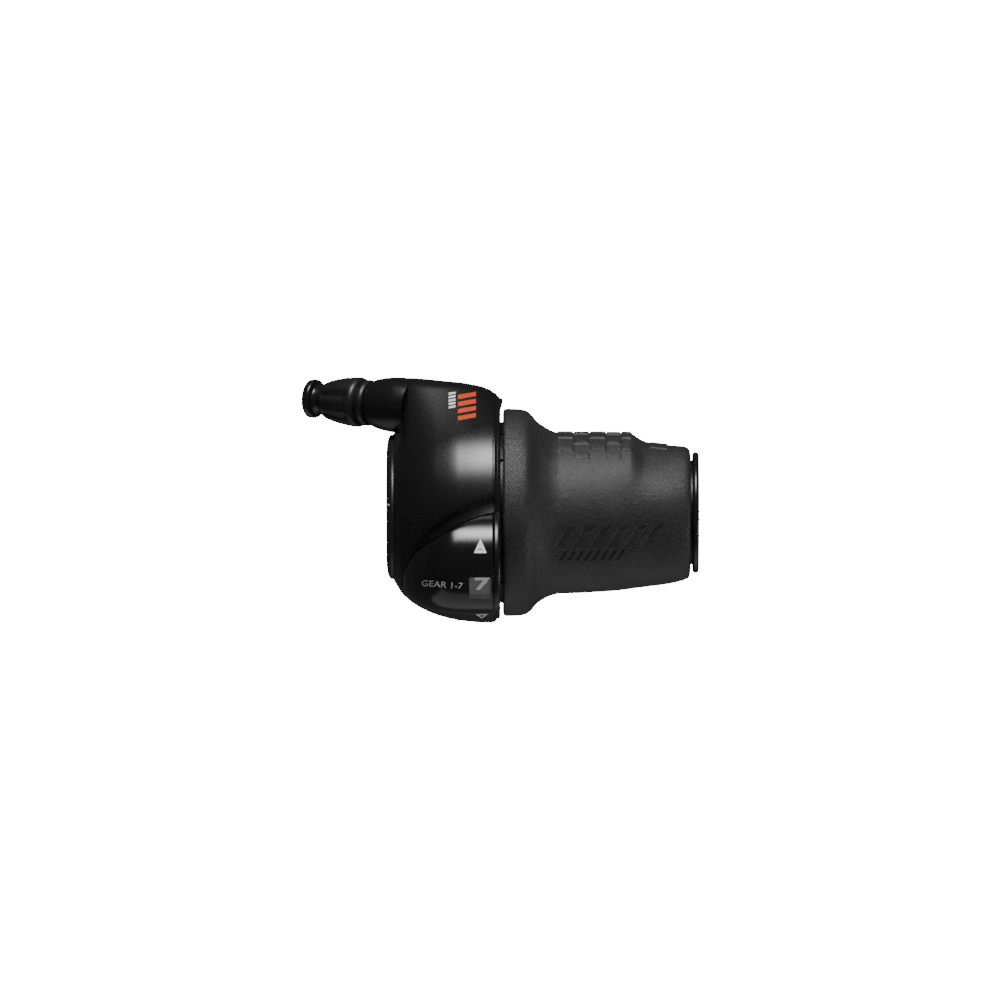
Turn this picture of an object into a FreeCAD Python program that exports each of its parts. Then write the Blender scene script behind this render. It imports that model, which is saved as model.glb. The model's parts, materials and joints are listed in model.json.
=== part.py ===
import FreeCAD, Part
import math
import os
import re
import Sketcher

# Twist-grip gear shifter for a 22.2 mm handlebar, in millimetres.
# Origin: centre of the handlebar bore at its inboard end.
# +X runs along the bar, outboard. +Y is forward, on the cable side. +Z is up.
# An angle around the bar is counted from +Z towards -Y, the rider's side.

Vector = FreeCAD.Vector
Rotation = FreeCAD.Rotation
Placement = FreeCAD.Placement

doc = FreeCAD.newDocument("twist_grip_shifter")

DIMENSIONS = {
    # sleeve on the handlebar, with its end collar and retaining ring
    "bar_bore": 11.15,
    "sleeve_length": 78.1,
    "sleeve_radius": 13.0,
    "sleeve_throat": 12.3,
    "sleeve_step": 9.6,
    "sleeve_slot": 1.2,
    "slit_length": 8.0,
    "collar_start": 76.45,
    "collar_radius": 15.2,
    "collar_drop": 0.6,
    "snap_start": 75.3,
    "snap_width": 0.6,
    "snap_depth": 0.5,
    "snap_radius": 14.2,
    "snap_gap": 4.0,
    # housing shell
    "shell_start": 1.8,
    "shell_end": 28.2,
    "shell_wall": 2.6,
    "chamber_start": 12.2,
    "clamp_room": 13.7,
    "slot_half_width": 7.5,
    "slot_roof": 10.0,
    "slot_floor": 30.0,
    # inboard cover and its screws
    "cover_start": 0.2,
    "cover_hole": 12.4,
    "cover_screw_circle": 15.1,
    "cover_screw_shank": 0.8,
    "cover_screw_head": 1.25,
    "cover_screw_length": 6.0,
    "cover_head_start": 0.35,
    "cover_head_height": 0.85,
    "recess_length": 1.5,
    "recess_width": 0.3,
    "recess_end": 0.8,
    # cable outlet: its end plane, and how far its axis turns and dips
    "outlet_x": -3.3,
    "outlet_y": 27.33,
    "outlet_z": -6.39,
    "outlet_yaw": 4.5,
    "outlet_dip": 30.0,
    "boss_radius": 6.55,
    "boss_round": 1.3,
    "boss_length": 12.0,
    # barrel adjuster, insert and casing ferrule, counted outwards from the boss
    "insert_radius": 4.4,
    "insert_length": 8.0,
    "thread_bore": 2.98,
    "stem_radius": 2.9,
    "stem_length": 7.6,
    "barrel_gap": 0.3,
    "barrel_radius": 6.24,
    "barrel_length": 14.2,
    "barrel_tip": 3.4,
    "barrel_tip_round": 1.2,
    "barrel_skirt": 1.4,
    "barrel_skirt_round": 2.2,
    "barrel_foot": 1.1,
    "barrel_side_round": 60.0,
    "flute_radius": 5.0,
    "flute_offset": 4.5,
    "flute_start": 2.9,
    "cable_hole": 1.0,
    "cable_passage": 12.0,
    "ferrule_start": 8.0,
    "ferrule_radius": 3.0,
    "ferrule_flange": 4.85,
    "ferrule_end": 18.3,
    "flange_width": 2.0,
    "flange_round": 0.5,
    "casing_bore": 2.55,
    "casing_depth": 7.0,
    "ferrule_play": 0.06,
    # cable guide
    "guide_radius": 1.6,
    "guide_bore": 0.9,
    "guide_start": 9.5,
    "guide_bend": 7.0,
    "guide_tip": 0.4,
    "guide_seat": 5.2,
    "guide_seat_end": 13.5,
    # display pod and its window; the window's reach is counted from the pod's middle
    "pod_start": 4.1,
    "pod_end": 27.0,
    "pod_wall": 1.5,
    "pod_back_wall": 0.8,
    "ledge_start": 19.0,
    "ledge_rise": 7.3,
    "ledge_waist": 21.9,
    "ledge_radius": 24.4,
    "window_y": -11.65,
    "window_z": 18.5,
    "window_tilt": 31.0,
    "window_reach": 11.0,
    "window_depth": 8.0,
    "window_start": 20.7,
    "window_width": 5.8,
    "window_height": 6.4,
    # clamp
    "band_start": 2.2,
    "band_width": 7.0,
    "band_thickness": 1.1,
    "ear_thickness": 1.5,
    "ear_bottom": 21.0,
    "band_gap": 1.6,
    "band_hole": 12.0,
    "bolt_drop": 17.2,
    "bolt_radius": 2.0,
    "bolt_head_radius": 3.5,
    "bolt_head_length": 4.0,
    "bolt_shank": 10.2,
    "socket_size": 1.72,
    "socket_depth": 2.5,
    "washer_radius": 3.9,
    "washer_thickness": 0.8,
    "nut_thickness": 3.2,
    "nut_circumradius": 4.04,
    "key_access": 2.6,
    "key_access_depth": 22.0,
    # detent
    "detent_angle": 150.0,
    "gear_pitch": 25.0,
    "gears": 7,
    "detent_start": 12.5,
    "detent_width": 3.0,
    "detent_radius": 18.6,
    "notch_depth": 1.2,
    "notch_half_angle": 5.5,
    "leaf_width": 2.4,
    "leaf_thickness": 0.4,
    "leaf_gap": 1.0,
    "leaf_nose": 0.15,
    "leaf_nose_half": 1.5,
    "leaf_tail": 3.0,
    "leaf_reach": 7.5,
    "leaf_eye": 1.4,
    "leaf_screw": 0.8,
    "leaf_screw_grip": 2.2,
    "leaf_head_height": 0.9,
    "leaf_slot_depth": 0.4,
    # rotor: core tube, drum and number ring
    "play": 0.08,
    "core_start": 12.4,
    "core_end": 75.0,
    "core_radius": 14.6,
    "index_start": 28.0,
    "index_radius": 22.6,
    "rubber_start": 29.3,
    "index_notch": 0.8,
    "index_notch_depth": 1.6,
    "index_notches": 14,
    "index_web_end": 33.5,
    "index_lip": 2.2,
    "key_half_width": 0.8,
    "key_top": 15.6,
    "key_end": 22.9,
    "key_root": 0.3,
    "drum_start": 16.4,
    "drum_width": 5.0,
    "drum_radius": 21.4,
    "groove_radius": 19.5,
    "groove_half_width": 0.9,
    "nipple_radius": 1.9,
    "nipple_depth": 2.0,
    "nipple_way": 3.0,
    "number_start": 21.9,
    "number_end": 27.9,
    "number_radius": 24.0,
    "number_wall": 1.0,
    "number_web": 1.0,
    # rubber grip
    "rubber_end": 76.0,
    "rubber_flare": 25.9,
    "rubber_waist": 20.3,
    "rubber_tail": 16.5,
    # cable access plug
    "plug_angle": 165.0,
    "plug_radius": 2.5,
    "plug_head_radius": 4.0,
    "plug_head_start": 25.6,
    "plug_head": 2.75,
    "plug_stem_start": 22.4,
    "plug_stem": 5.6,
}

# Cross sections of the shell: place along the bar, radius about the bar, radius of the
# front bulge, and the bulge's height forward where it isn't yet on the cable's axis.
SHELL_STATIONS = [
    ("shell_start", 16.8, 3.2, 16.4),
    ("3.75", 20.2, 5.2, 24.2),
    ("7.3", 23.1, 6.6, None),
    ("chamber_start", 25.4, 6.6, None),
    ("19", 27.1, 6.5, None),
    ("24.5", 27.5, 6.2, None),
    ("shell_end", 27.45, 3.6, None),
]
BULGE_END = 22.6  # the bulge's axis stops rising here

# Cross sections of the inboard cover: the same measures, from its face to its back.
COVER_STATIONS = [
    ("cover_start", 15.4, 2.4, 15.4),
    ("cover_start + 0.8", 16.5, 3.0, 16.2),
    ("shell_start", 16.8, 3.2, 16.4),
]

# Cross sections of the display pod: place along the bar, centre, radius.
POD_STATIONS = [
    ("pod_start", -15.0, 10.4, 1.6),
    ("4.5", -14.7, 10.1, 4.2),
    ("5.4", -13.3, 9.9, 7.4),
    ("7.6", -12.4, 10.7, 10.4),
    ("12", -12.3, 13.5, 12.0),
    ("17.1", -12.0, 16.2, 13.0),
    ("20.7", -11.8, 17.6, 13.5),
    ("pod_end", -11.5, 19.4, 14.2),
]

# The core tube's outside under the rubber: place along the bar, radius.
CORE_TAPER = [
    ("62", "core_radius + 1.2"), ("45", "core_radius + 2.6"), ("39", "core_radius + 4"),
    ("34.5", "index_radius"),
]

# The rubber's outside: place along the bar, radius. Some of its sides are arcs.
RUBBER_PROFILE = [
    ("rubber_start", "index_radius"), ("rubber_start", "rubber_flare - 0.8"),
    ("rubber_start + 0.8", "rubber_flare"), ("34.7", "rubber_flare - 0.3"),
    ("37.2", "rubber_flare - 2.7"), ("43.2", "rubber_waist"),
    ("57.5", "rubber_waist - 0.7"), ("69.9", "rubber_waist - 2.3"),
    ("rubber_end - 0.6", "rubber_tail"), ("rubber_end", "rubber_tail - 1.3"),
]
RUBBER_ARCS = {1: "-0.9", 3: "-3.4", 4: "9", 8: "-1.6"}

sheet = doc.addObject("Spreadsheet::Sheet", "Dims")
for row, (alias, size) in enumerate(DIMENSIONS.items(), start=1):
    sheet.set(f"A{row}", alias)
    sheet.set(f"B{row}", str(size))
    sheet.setAlias(f"B{row}", alias)
doc.recompute()

FUNCTIONS = ("sin", "cos", "tan", "sqrt", "deg", "mm")
HALF_TURN = 180
FULL_TURN = 360
ALONG_BAR = Vector(1, 0, 0)


def bound(text):
    """The same expression with each of the sheet's words written as FreeCAD reads it."""
    def with_sheet(match):
        word = match.group(0)
        return word if word in FUNCTIONS else "Dims." + word
    return re.sub(r"[a-z][a-z_]+", with_sheet, text)


def number(text):
    """The value of an expression in the sheet's words."""
    found = sheet.evalExpression(bound(text))
    return float(getattr(found, "Value", found))


def point(texts):
    return Vector(*[number(text) for text in texts])


# ---------------------------------------------------------------- sketches


def origin_plane(body, role):
    return next(item for item in body.Origin.OriginFeatures if item.Role == role)


def sketch_on(body, name, role, offset=("0", "0", "0")):
    """An empty sketch on an origin plane of its body, moved by expressions."""
    sketch = body.newObject("Sketcher::SketchObject", name)
    sketch.AttachmentSupport = (origin_plane(body, role), [""])
    sketch.MapMode = "FlatFace"
    for axis, text in zip("xyz", offset):
        sketch.setExpression("AttachmentOffset.Base." + axis, bound(text))
    return sketch


def pin_point(sketch, item, end, texts):
    """Fixes one end of a sketch item at a place given by two expressions."""
    for kind, axis, text in (("DistanceX", -2, texts[0]), ("DistanceY", -1, texts[1])):
        at = number(text)
        if abs(at) < 1e-9:
            sketch.addConstraint(Sketcher.Constraint("PointOnObject", item, end, axis))
            continue
        index = sketch.addConstraint(Sketcher.Constraint(kind, -1, 1, item, end, at))
        sketch.setExpression(f"Constraints[{index}]", bound(text))


def arc_between(first, last, radius):
    """The shorter arc from first to last: a positive radius bulges right of the path."""
    chord = last - first
    left = Vector(-chord.y, chord.x, 0).normalize()
    rise = math.sqrt(radius * radius - (chord.Length / 2) ** 2)
    centre = (first + last) / 2 + left * math.copysign(rise, radius)
    ends = (first, last) if radius > 0 else (last, first)
    angles = [math.atan2(end.y - centre.y, end.x - centre.x) for end in ends]
    circle = Part.Circle(centre, Vector(0, 0, 1), abs(radius))
    return Part.ArcOfCircle(circle, angles[0], angles[1])


def outline(body, name, role, points, arcs=None, offset=("0", "0", "0")):
    """A closed outline through points given as pairs of expressions.

    arcs maps the number of a side to its radius; the other sides are straight.
    """
    arcs = arcs or {}
    sketch = sketch_on(body, name, role, offset)
    corners = [Vector(number(a), number(b), 0) for a, b in points]
    starts = []
    ends = []
    for side, first in enumerate(corners):
        last = corners[(side + 1) % len(corners)]
        radius = number(arcs[side]) if side in arcs else 0
        item = arc_between(first, last, radius) if radius else Part.LineSegment(first, last)
        index = sketch.addGeometry(item, False)
        starts.append((index, 2 if radius < 0 else 1))
        ends.append((index, 1 if radius < 0 else 2))
    for side in range(len(corners)):
        following = starts[(side + 1) % len(corners)]
        sketch.addConstraint(Sketcher.Constraint("Coincident", *ends[side], *following))
    for side, texts in enumerate(points):
        pin_point(sketch, *starts[side], texts)
    for side, text in arcs.items():
        item = starts[side][0]
        index = sketch.addConstraint(Sketcher.Constraint("Radius", item, abs(number(text))))
        sketch.setExpression(f"Constraints[{index}]", bound(text.lstrip("-")))
    return sketch


# ---------------------------------------------------------------- features


def new_body(label):
    return doc.addObject("PartDesign::Body", label)


def revolve(body, name, points, arcs=None, centre=("0", "0")):
    """Turns an outline, drawn as (along the bar, radius), around the bar's direction."""
    sketch = outline(body, name + "_outline", "XY_Plane", points, arcs, ("0", *centre))
    feature = body.newObject("PartDesign::Revolution", name)
    feature.Profile = sketch
    feature.ReferenceAxis = (sketch, ["H_Axis"])
    feature.Angle = FULL_TURN
    return feature


def turned(label, points, arcs=None, centre=("0", "0")):
    """A body made by turning one outline."""
    body = new_body(label)
    revolve(body, label + "_turned", points, arcs, centre)
    return body


def pocket(body, name, points, start, depth):
    """Cuts an outline in the plane across the bar, from start towards +X."""
    sketch = outline(body, name + "_outline", "YZ_Plane", points, None, ("0", "0", start))
    feature = body.newObject("PartDesign::Pocket", name)
    feature.Profile = sketch
    feature.Reversed = True
    feature.setExpression("Length", bound(depth))
    return feature


def pattern_around_bar(body, name, feature, angle, count):
    """Repeats a cut around the bar's axis."""
    pattern = body.newObject("PartDesign::PolarPattern", name)
    pattern.Originals = [feature]
    pattern.Axis = (feature.Profile[0], ["N_Axis"])
    pattern.setExpression("Angle", bound(angle))
    pattern.Occurrences = count
    body.Tip = pattern
    return pattern


def placed(solid, start, turn):
    """Puts a primitive at a place given by expressions, turned by a rotation."""
    solid.Placement = Placement(point(start), turn)
    for axis, text in zip("xyz", start):
        solid.setExpression("Placement.Base." + axis, bound(text))
    return solid


def cylinder(name, radius, length, start, along=ALONG_BAR):
    solid = doc.addObject("Part::Cylinder", name)
    solid.setExpression("Radius", bound(radius))
    solid.setExpression("Height", bound(length))
    return placed(solid, start, Rotation(Vector(0, 0, 1), along))


def prism(name, circumradius, length, start, along):
    """A hexagonal prism with two flats square to the bar."""
    solid = doc.addObject("Part::Prism", name)
    solid.Polygon = 6
    solid.setExpression("Circumradius", bound(circumradius))
    solid.setExpression("Height", bound(length))
    upright = Vector(0, 0, 1)
    return placed(solid, start, Rotation(upright, along) * Rotation(upright, HALF_TURN / 6))


def box(name, start, size, turn=Rotation()):
    solid = doc.addObject("Part::Box", name)
    for side, text in zip(("Length", "Width", "Height"), size):
        solid.setExpression(side, bound(text))
    return placed(solid, start, turn)


def fuse(label, *solids):
    joined = doc.addObject("Part::MultiFuse", label)
    joined.Shapes = list(solids)
    return joined


def cut(label, base, *tools):
    """Takes every tool from the base."""
    tool = tools[0] if len(tools) == 1 else fuse(label + "_tools", *tools)
    left = doc.addObject("Part::Cut", label)
    left.Base = base
    left.Tool = tool
    return left


def common(label, first, second):
    shared = doc.addObject("Part::Common", label)
    shared.Base = first
    shared.Tool = second
    return shared


def at_angle(radius, degrees):
    """The Y and Z expressions of a place around the bar."""
    return (f"-({radius}) * sin({degrees})", f"({radius}) * cos({degrees})")


# ---------------------------------------------------------------- cable outlet's frame


def outlet_direction():
    """The way out of the cable boss: inboard, a little forward, and down."""
    yaw = math.radians(number("outlet_yaw"))
    dip = math.radians(number("outlet_dip"))
    level = math.cos(dip)
    return Vector(-level * math.cos(yaw), level * math.sin(yaw), -math.sin(dip))


def outlet_placement():
    """Puts a piece drawn along +X on the outlet's axis, with zero at the boss's end."""
    start = point(("outlet_x", "outlet_y", "outlet_z"))
    return Placement(start, Rotation(ALONG_BAR, outlet_direction()))


def on_outlet(piece):
    piece.Placement = outlet_placement()
    return piece


def bulge_axis(along):
    """The Y and Z expressions of the outlet's axis at a place along the bar."""
    run = f"({along} - outlet_x)"
    forward = f"outlet_y - {run} * tan(outlet_yaw)"
    up = f"outlet_z + {run} * tan(outlet_dip) / cos(outlet_yaw)"
    return forward, up


def outlet_cylinder(name, radius, length, depth):
    """A cylinder on the outlet's axis that starts at a depth inside the boss."""
    solid = cylinder(name, radius, length, ("0", "0", "0"))
    solid.setExpression("Placement.Base.x", None)
    solid.setExpression("Placement.Base.y", None)
    solid.setExpression("Placement.Base.z", None)
    away = outlet_direction()
    start = point(("outlet_x", "outlet_y", "outlet_z")) - away * number(depth)
    solid.Placement = Placement(start, Rotation(Vector(0, 0, 1), away))
    return solid


# ---------------------------------------------------------------- housing


def hull_section(body, name, along, radius, bulge, forward, up):
    """The line around two circles: one about the bar, one about the bulge's axis."""
    sketch = sketch_on(body, name, "YZ_Plane", ("0", "0", along))
    big, small = number(radius), number(bulge)
    centre = Vector(number(forward), number(up), 0)
    heading = math.atan2(centre.y, centre.x)
    spread = math.acos((big - small) / centre.Length)
    low, high = heading - spread, heading + spread

    def on_circle(middle, size, angle):
        return middle + Vector(math.cos(angle), math.sin(angle), 0) * size

    zero = Vector(0, 0, 0)
    normal = Vector(0, 0, 1)
    items = [
        Part.ArcOfCircle(Part.Circle(zero, normal, big), high, low + 2 * math.pi),
        Part.LineSegment(on_circle(zero, big, low), on_circle(centre, small, low)),
        Part.ArcOfCircle(Part.Circle(centre, normal, small), low, high),
        Part.LineSegment(on_circle(centre, small, high), on_circle(zero, big, high)),
    ]
    sketch.addGeometry(items, False)
    for item in range(4):
        joint = Sketcher.Constraint("Tangent", item, 2, (item + 1) % 4, 1)
        sketch.addConstraint(joint)
    sketch.addConstraint(Sketcher.Constraint("Coincident", 0, 3, -1, 1))
    pin_point(sketch, 2, 3, (forward, up))
    for item, text in ((0, radius), (2, bulge)):
        index = sketch.addConstraint(Sketcher.Constraint("Radius", item, number(text)))
        sketch.setExpression(f"Constraints[{index}]", bound(text))
    return sketch


def loft(body, name, sections):
    feature = body.newObject("PartDesign::AdditiveLoft", name)
    feature.Profile = sections[0]
    feature.Sections = sections[1:]
    return feature


def station_sections(body, name, inset, first):
    """Shell cross sections, drawn smaller by the inset, from a place on the bar on."""
    sections = []
    for along, radius, bulge, forward in SHELL_STATIONS:
        if number(along) < number(first) - 1e-6:
            continue
        _, up = bulge_axis(along)
        level, up_end = bulge_axis(str(BULGE_END))
        if number(along) > BULGE_END:
            centre = (level, up_end)
        elif forward is None:
            centre = bulge_axis(along)
        else:
            centre = (str(forward), up)
        label = f"{name}_{len(sections) + 1}"
        sizes = (f"{radius} - {inset}", f"{bulge} - {inset}")
        sections.append(hull_section(body, label, along, *sizes, *centre))
    return sections


def make_housing_chamber():
    """The space inside the shell for the drum and the number ring."""
    body = new_body("housing_chamber")
    loft(body, "chamber_loft",
         station_sections(body, "chamber_section", "shell_wall", "chamber_start"))
    return body


def make_housing_shell():
    """The shell's outside, filled solid."""
    body = new_body("housing_shell")
    loft(body, "shell_loft", station_sections(body, "shell_section", "0", "shell_start"))
    return body


def make_main_housing(shell, pod_room):
    """Glossy shell with the front bulge, the cable boss and the web for the sleeve."""
    boss = turned(
        "cable_boss",
        [("0", "0"), ("0", "boss_radius - boss_round"), ("-boss_round", "boss_radius"),
         ("-boss_length", "boss_radius"), ("-boss_length", "0")],
        {1: "-boss_round * 1.05"},
    )
    on_outlet(boss)
    _, across, up, radius = POD_STATIONS[-1]
    rim = cylinder("display_rim", str(radius), "shell_end - pod_end",
                   ("pod_end", str(across), str(up)))
    outside = fuse("housing_outside", shell, boss, rim)
    deep = "insert_length + cable_passage"
    web = "chamber_start - sleeve_step"
    groove_x = "drum_start + drum_width / 2"
    tools = [
        make_housing_chamber(),
        pod_room,
        cylinder("clamp_chamber", "clamp_room", "sleeve_step", ("0", "0", "0")),
        cylinder("sleeve_seat", "sleeve_radius", f"{web} + 2", ("sleeve_step - 1", "0", "0")),
        box("clamp_slot", ("0", "-slot_half_width", "-slot_floor"),
            ("sleeve_step", "2 * slot_half_width", "slot_floor - slot_roof")),
        cylinder("key_access_hole", "key_access", "key_access_depth",
                 ("band_start + band_width / 2", "-slot_half_width + 1", "-bolt_drop"),
                 Vector(0, -1, 0)),
        outlet_cylinder("insert_seat", "insert_radius", "insert_length + 1", "insert_length"),
        outlet_cylinder("cable_way", "cable_hole", "cable_passage", deep),
        outlet_cylinder("guide_seat_hole", "guide_radius", "guide_seat",
                        "(guide_seat_end - outlet_x) / cos(outlet_dip)"),
        cylinder("leaf_screw_hole", "leaf_screw", "leaf_screw_grip",
                 ("chamber_start - leaf_screw_grip", *leaf_eye_place())),
        cylinder("plug_hole", "plug_radius", "plug_stem + 2",
                 (groove_x, *at_angle("plug_stem_start", "plug_angle")), plug_direction()),
    ]
    tools += [screw_part("screw_hole", turn, "cover_screw_shank", "shell_start",
                         "cover_screw_length") for turn in screw_angles()]
    return cut("main_housing", outside, *tools)


def screw_angles():
    """Three cover screws, clear of the bulge and of the slot under the clamp."""
    return ["-5", "115", "235"]


def screw_part(name, turn, radius, start, length):
    place = at_angle("cover_screw_circle", turn)
    return cylinder(f"{name}_{turn.strip('-')}", radius, length, (start, *place))


def make_inboard_cover():
    """Disc over the inboard side, egg shaped like the shell's first section."""
    body = new_body("cover_disc")
    _, up = bulge_axis("shell_start")
    sections = []
    for along, radius, bulge, forward in COVER_STATIONS:
        label = f"cover_section_{len(sections) + 1}"
        sizes = (str(radius), str(bulge), str(forward))
        sections.append(hull_section(body, label, along, *sizes, up))
    loft(body, "cover_loft", sections)
    tools = [cylinder("cover_bar_hole", "cover_hole", "4", ("-1", "0", "0"))]
    for turn in screw_angles():
        tools.append(screw_part("cover_screw_way", turn, "cover_screw_shank", "0", "3"))
        tools.append(screw_part("cover_head_room", turn, "cover_screw_head", "-1", "2.2"))
    return cut("inboard_cover", body, *tools)


def make_cover_screws():
    """Three pan-head screws with cross recesses."""
    screws = []
    for turn in screw_angles():
        head = screw_part("screw_head", turn, "cover_screw_head", "cover_head_start",
                          "cover_head_height")
        shank = screw_part("screw_shank", turn, "cover_screw_shank", "cover_head_start",
                           "cover_screw_length")
        sideways, upward = at_angle("cover_screw_circle", turn)
        name = turn.strip("-")
        slots = []
        for side, wide, high in (("long", "recess_length", "recess_width"),
                                 ("cross", "recess_width", "recess_length")):
            corner = ("0", f"{sideways} - {wide} / 2", f"{upward} - {high} / 2")
            slots.append(box(f"recess_{side}_{name}", corner, ("recess_end", wide, high)))
        whole = fuse(f"screw_{name}", head, shank)
        screws.append(cut(f"cover_screw_{name}", whole, *slots))
    group = doc.addObject("Part::Compound", "cover_screws")
    group.Links = screws
    return group


# ---------------------------------------------------------------- display


def pod_shape(label, inset, end, first=0):
    """Dome of circles that grow and rise along the bar, half sunk in the shell."""
    body = new_body(label)
    sections = []
    for along, across, up, radius in POD_STATIONS[first:]:
        along = end if along == "pod_end" else along
        name = f"{label}_section_{len(sections) + 1}"
        sketch = sketch_on(body, name, "YZ_Plane", ("0", "0", along))
        circle = Part.Circle(Vector(across, up, 0), Vector(0, 0, 1), radius)
        ring = sketch.addGeometry(circle, False)
        pin_point(sketch, ring, 3, (str(across), str(up)))
        size = f"{radius} - {inset}"
        index = sketch.addConstraint(Sketcher.Constraint("Radius", ring, number(size)))
        sketch.setExpression(f"Constraints[{index}]", bound(size))
        sections.append(sketch)
    loft(body, label + "_loft", sections)
    return body


def make_ledge(label):
    """Everything nearer the bar than the display cover's lower edge."""
    return turned(label, [
        ("0", "0"), ("0", "ledge_start"), ("ledge_rise", "ledge_waist"),
        ("chamber_start", "ledge_radius"), ("shell_end + 2", "ledge_radius"),
        ("shell_end + 2", "0"),
    ])


def window_block():
    """Box square to the pod's side, as large as the window."""
    turn = Rotation(ALONG_BAR, number("window_tilt"))
    block = box("window_frame", ("0", "0", "0"),
                ("window_width", "window_height", "window_depth"), turn)
    for axis in "xyz":
        block.setExpression("Placement.Base." + axis, None)
    corner = Vector(0, -number("window_height") / 2, number("window_reach"))
    middle = point(("window_start", "window_y", "window_z"))
    block.Placement = Placement(turn.multVec(corner) + middle, turn)
    return block


def make_display():
    """The cover, its clear window, and the room that both need in the shell."""
    whole = pod_shape("pod_outside", "0", "pod_end")
    hollow = pod_shape("pod_inside", "pod_wall", "pod_end - pod_back_wall", 2)
    ledge = make_ledge("pod_ledge")
    room = cut("pod_room", whole, ledge)
    skin = cut("pod_skin", whole, hollow)
    frame = window_block()
    window = common("display_window", skin, frame)
    cover = cut("display_cover", skin, ledge, frame)
    return room, cover, window


# ---------------------------------------------------------------- sleeve and clamp


def make_bar_sleeve():
    """Tube around the bar; its inboard end is slit for the clamp band."""
    snap_end = "snap_start + snap_width"
    groove = "sleeve_radius - snap_depth"
    body = turned("bar_sleeve", [
        ("0", "bar_bore"), ("sleeve_length", "bar_bore"),
        ("sleeve_length", "sleeve_radius"), (snap_end, "sleeve_radius"),
        (snap_end, groove), ("snap_start", groove), ("snap_start", "sleeve_radius"),
        ("sleeve_step", "sleeve_radius"), ("sleeve_step", "sleeve_throat"),
        ("0", "sleeve_throat"),
    ])
    half = "sleeve_slot / 2"
    far = "sleeve_radius + 1"
    pocket(body, "sleeve_slit", [("-" + half, f"-({far})"), (half, f"-({far})"),
                                 (half, far), ("-" + half, far)], "0", "slit_length")
    return body


def make_end_collar():
    """Flange with a round rim at the outboard end."""
    low = "collar_radius - collar_drop"
    return turned("end_collar", [
        ("collar_start", "sleeve_radius"), ("sleeve_length", "sleeve_radius"),
        ("sleeve_length", low), ("collar_start", low),
    ], {2: "(sleeve_length - collar_start) * 0.55"})


def make_retaining_ring():
    """Split snap ring that stops the core tube."""
    end = "snap_start + snap_width"
    foot = "sleeve_radius - snap_depth"
    body = turned("retaining_ring", [("snap_start", foot), (end, foot), (end, "snap_radius"),
                                     ("snap_start", "snap_radius")])
    half = "snap_gap / 2"
    low, high = "bar_bore", "snap_radius + 1"
    pocket(body, "ring_gap", [("-" + half, low), (half, low), (half, high), ("-" + half, high)],
           "snap_start - 1", "snap_width + 2")
    return body


def make_clamp():
    """Band with two ears, socket bolt, washer and nut, all on the underside."""
    middle = "band_start + band_width / 2"
    outer = "sleeve_throat + band_thickness"
    ring = cylinder("band_ring", outer, "band_width", ("band_start", "0", "0"))
    ears = box("band_ears", ("band_start", "-band_gap / 2 - ear_thickness", "-ear_bottom"),
               ("band_width", "band_gap + 2 * ear_thickness", "ear_bottom - sleeve_throat"))
    inside = cylinder("band_inside", "sleeve_throat", "band_width + 2",
                      ("band_start - 1", "0", "0"))
    split = box("band_split", ("band_start - 1", "-band_gap / 2", "-ear_bottom - 1"),
                ("band_width + 2", "band_gap", "ear_bottom"))
    hole = cylinder("band_bolt_hole", "bolt_radius", "band_hole",
                    (middle, "-band_hole / 2", "-bolt_drop"), Vector(0, 1, 0))
    band = cut("clamp_band", fuse("band_blank", ring, ears), inside, split, hole)

    seat = "band_gap / 2 + ear_thickness"
    under_head = f"-({seat}) - washer_thickness"
    forward = Vector(0, 1, 0)
    head = cylinder("bolt_head", "bolt_head_radius", "bolt_head_length",
                    (middle, f"{under_head} - bolt_head_length", "-bolt_drop"), forward)
    shank = cylinder("bolt_shaft", "bolt_radius", "bolt_shank",
                     (middle, under_head, "-bolt_drop"), forward)
    socket = prism("bolt_socket", "socket_size", "socket_depth",
                   (middle, f"{under_head} - bolt_head_length", "-bolt_drop"), forward)
    bolt = cut("clamp_bolt", fuse("bolt_blank", head, shank), socket)

    disc = cylinder("washer_disc", "washer_radius", "washer_thickness",
                    (middle, under_head, "-bolt_drop"), forward)
    washer_hole = cylinder("washer_hole", "bolt_radius", "washer_thickness",
                           (middle, under_head, "-bolt_drop"), forward)
    washer = cut("clamp_washer", disc, washer_hole)

    block = prism("nut_block", "nut_circumradius", "nut_thickness",
                  (middle, seat, "-bolt_drop"), forward)
    nut_hole = cylinder("nut_hole", "bolt_radius", "nut_thickness",
                        (middle, seat, "-bolt_drop"), forward)
    return band, bolt, washer, cut("clamp_nut", block, nut_hole)


# ---------------------------------------------------------------- cable outlet


def make_adjuster_insert():
    """Threaded bush in the boss."""
    body = turned("adjuster_insert", [
        ("-insert_length", "thread_bore"), ("-insert_length", "insert_radius"),
        ("0", "insert_radius"), ("0", "thread_bore"),
    ])
    return on_outlet(body)


def make_adjuster_barrel():
    """Tapered knob with six shallow flutes, and its hollow stem."""
    skirt = "barrel_gap + barrel_skirt"
    bottom = "ferrule_start - 0.1"
    room = "ferrule_radius + ferrule_play"
    knob = turned("barrel_turned", [
        ("-stem_length", "cable_hole"), (bottom, "cable_hole"), (bottom, room),
        ("barrel_length", room), ("barrel_length", "barrel_tip"),
        ("barrel_length - barrel_tip_round", "barrel_tip + barrel_tip_round"),
        (skirt, "barrel_radius"), ("barrel_gap", "barrel_radius - barrel_foot"),
        ("barrel_gap", "stem_radius"), ("-stem_length", "stem_radius"),
    ], {4: "barrel_skirt_round", 5: "barrel_side_round"})
    flute_turn = FULL_TURN / 6
    flutes = []
    for step in range(6):
        place = at_angle("barrel_radius + flute_offset", str(flute_turn * step))
        flutes.append(cylinder(f"barrel_flute_{step + 1}", "flute_radius", "barrel_length",
                               ("flute_start", *place)))
    return on_outlet(cut("adjuster_barrel", knob, *flutes))


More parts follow.
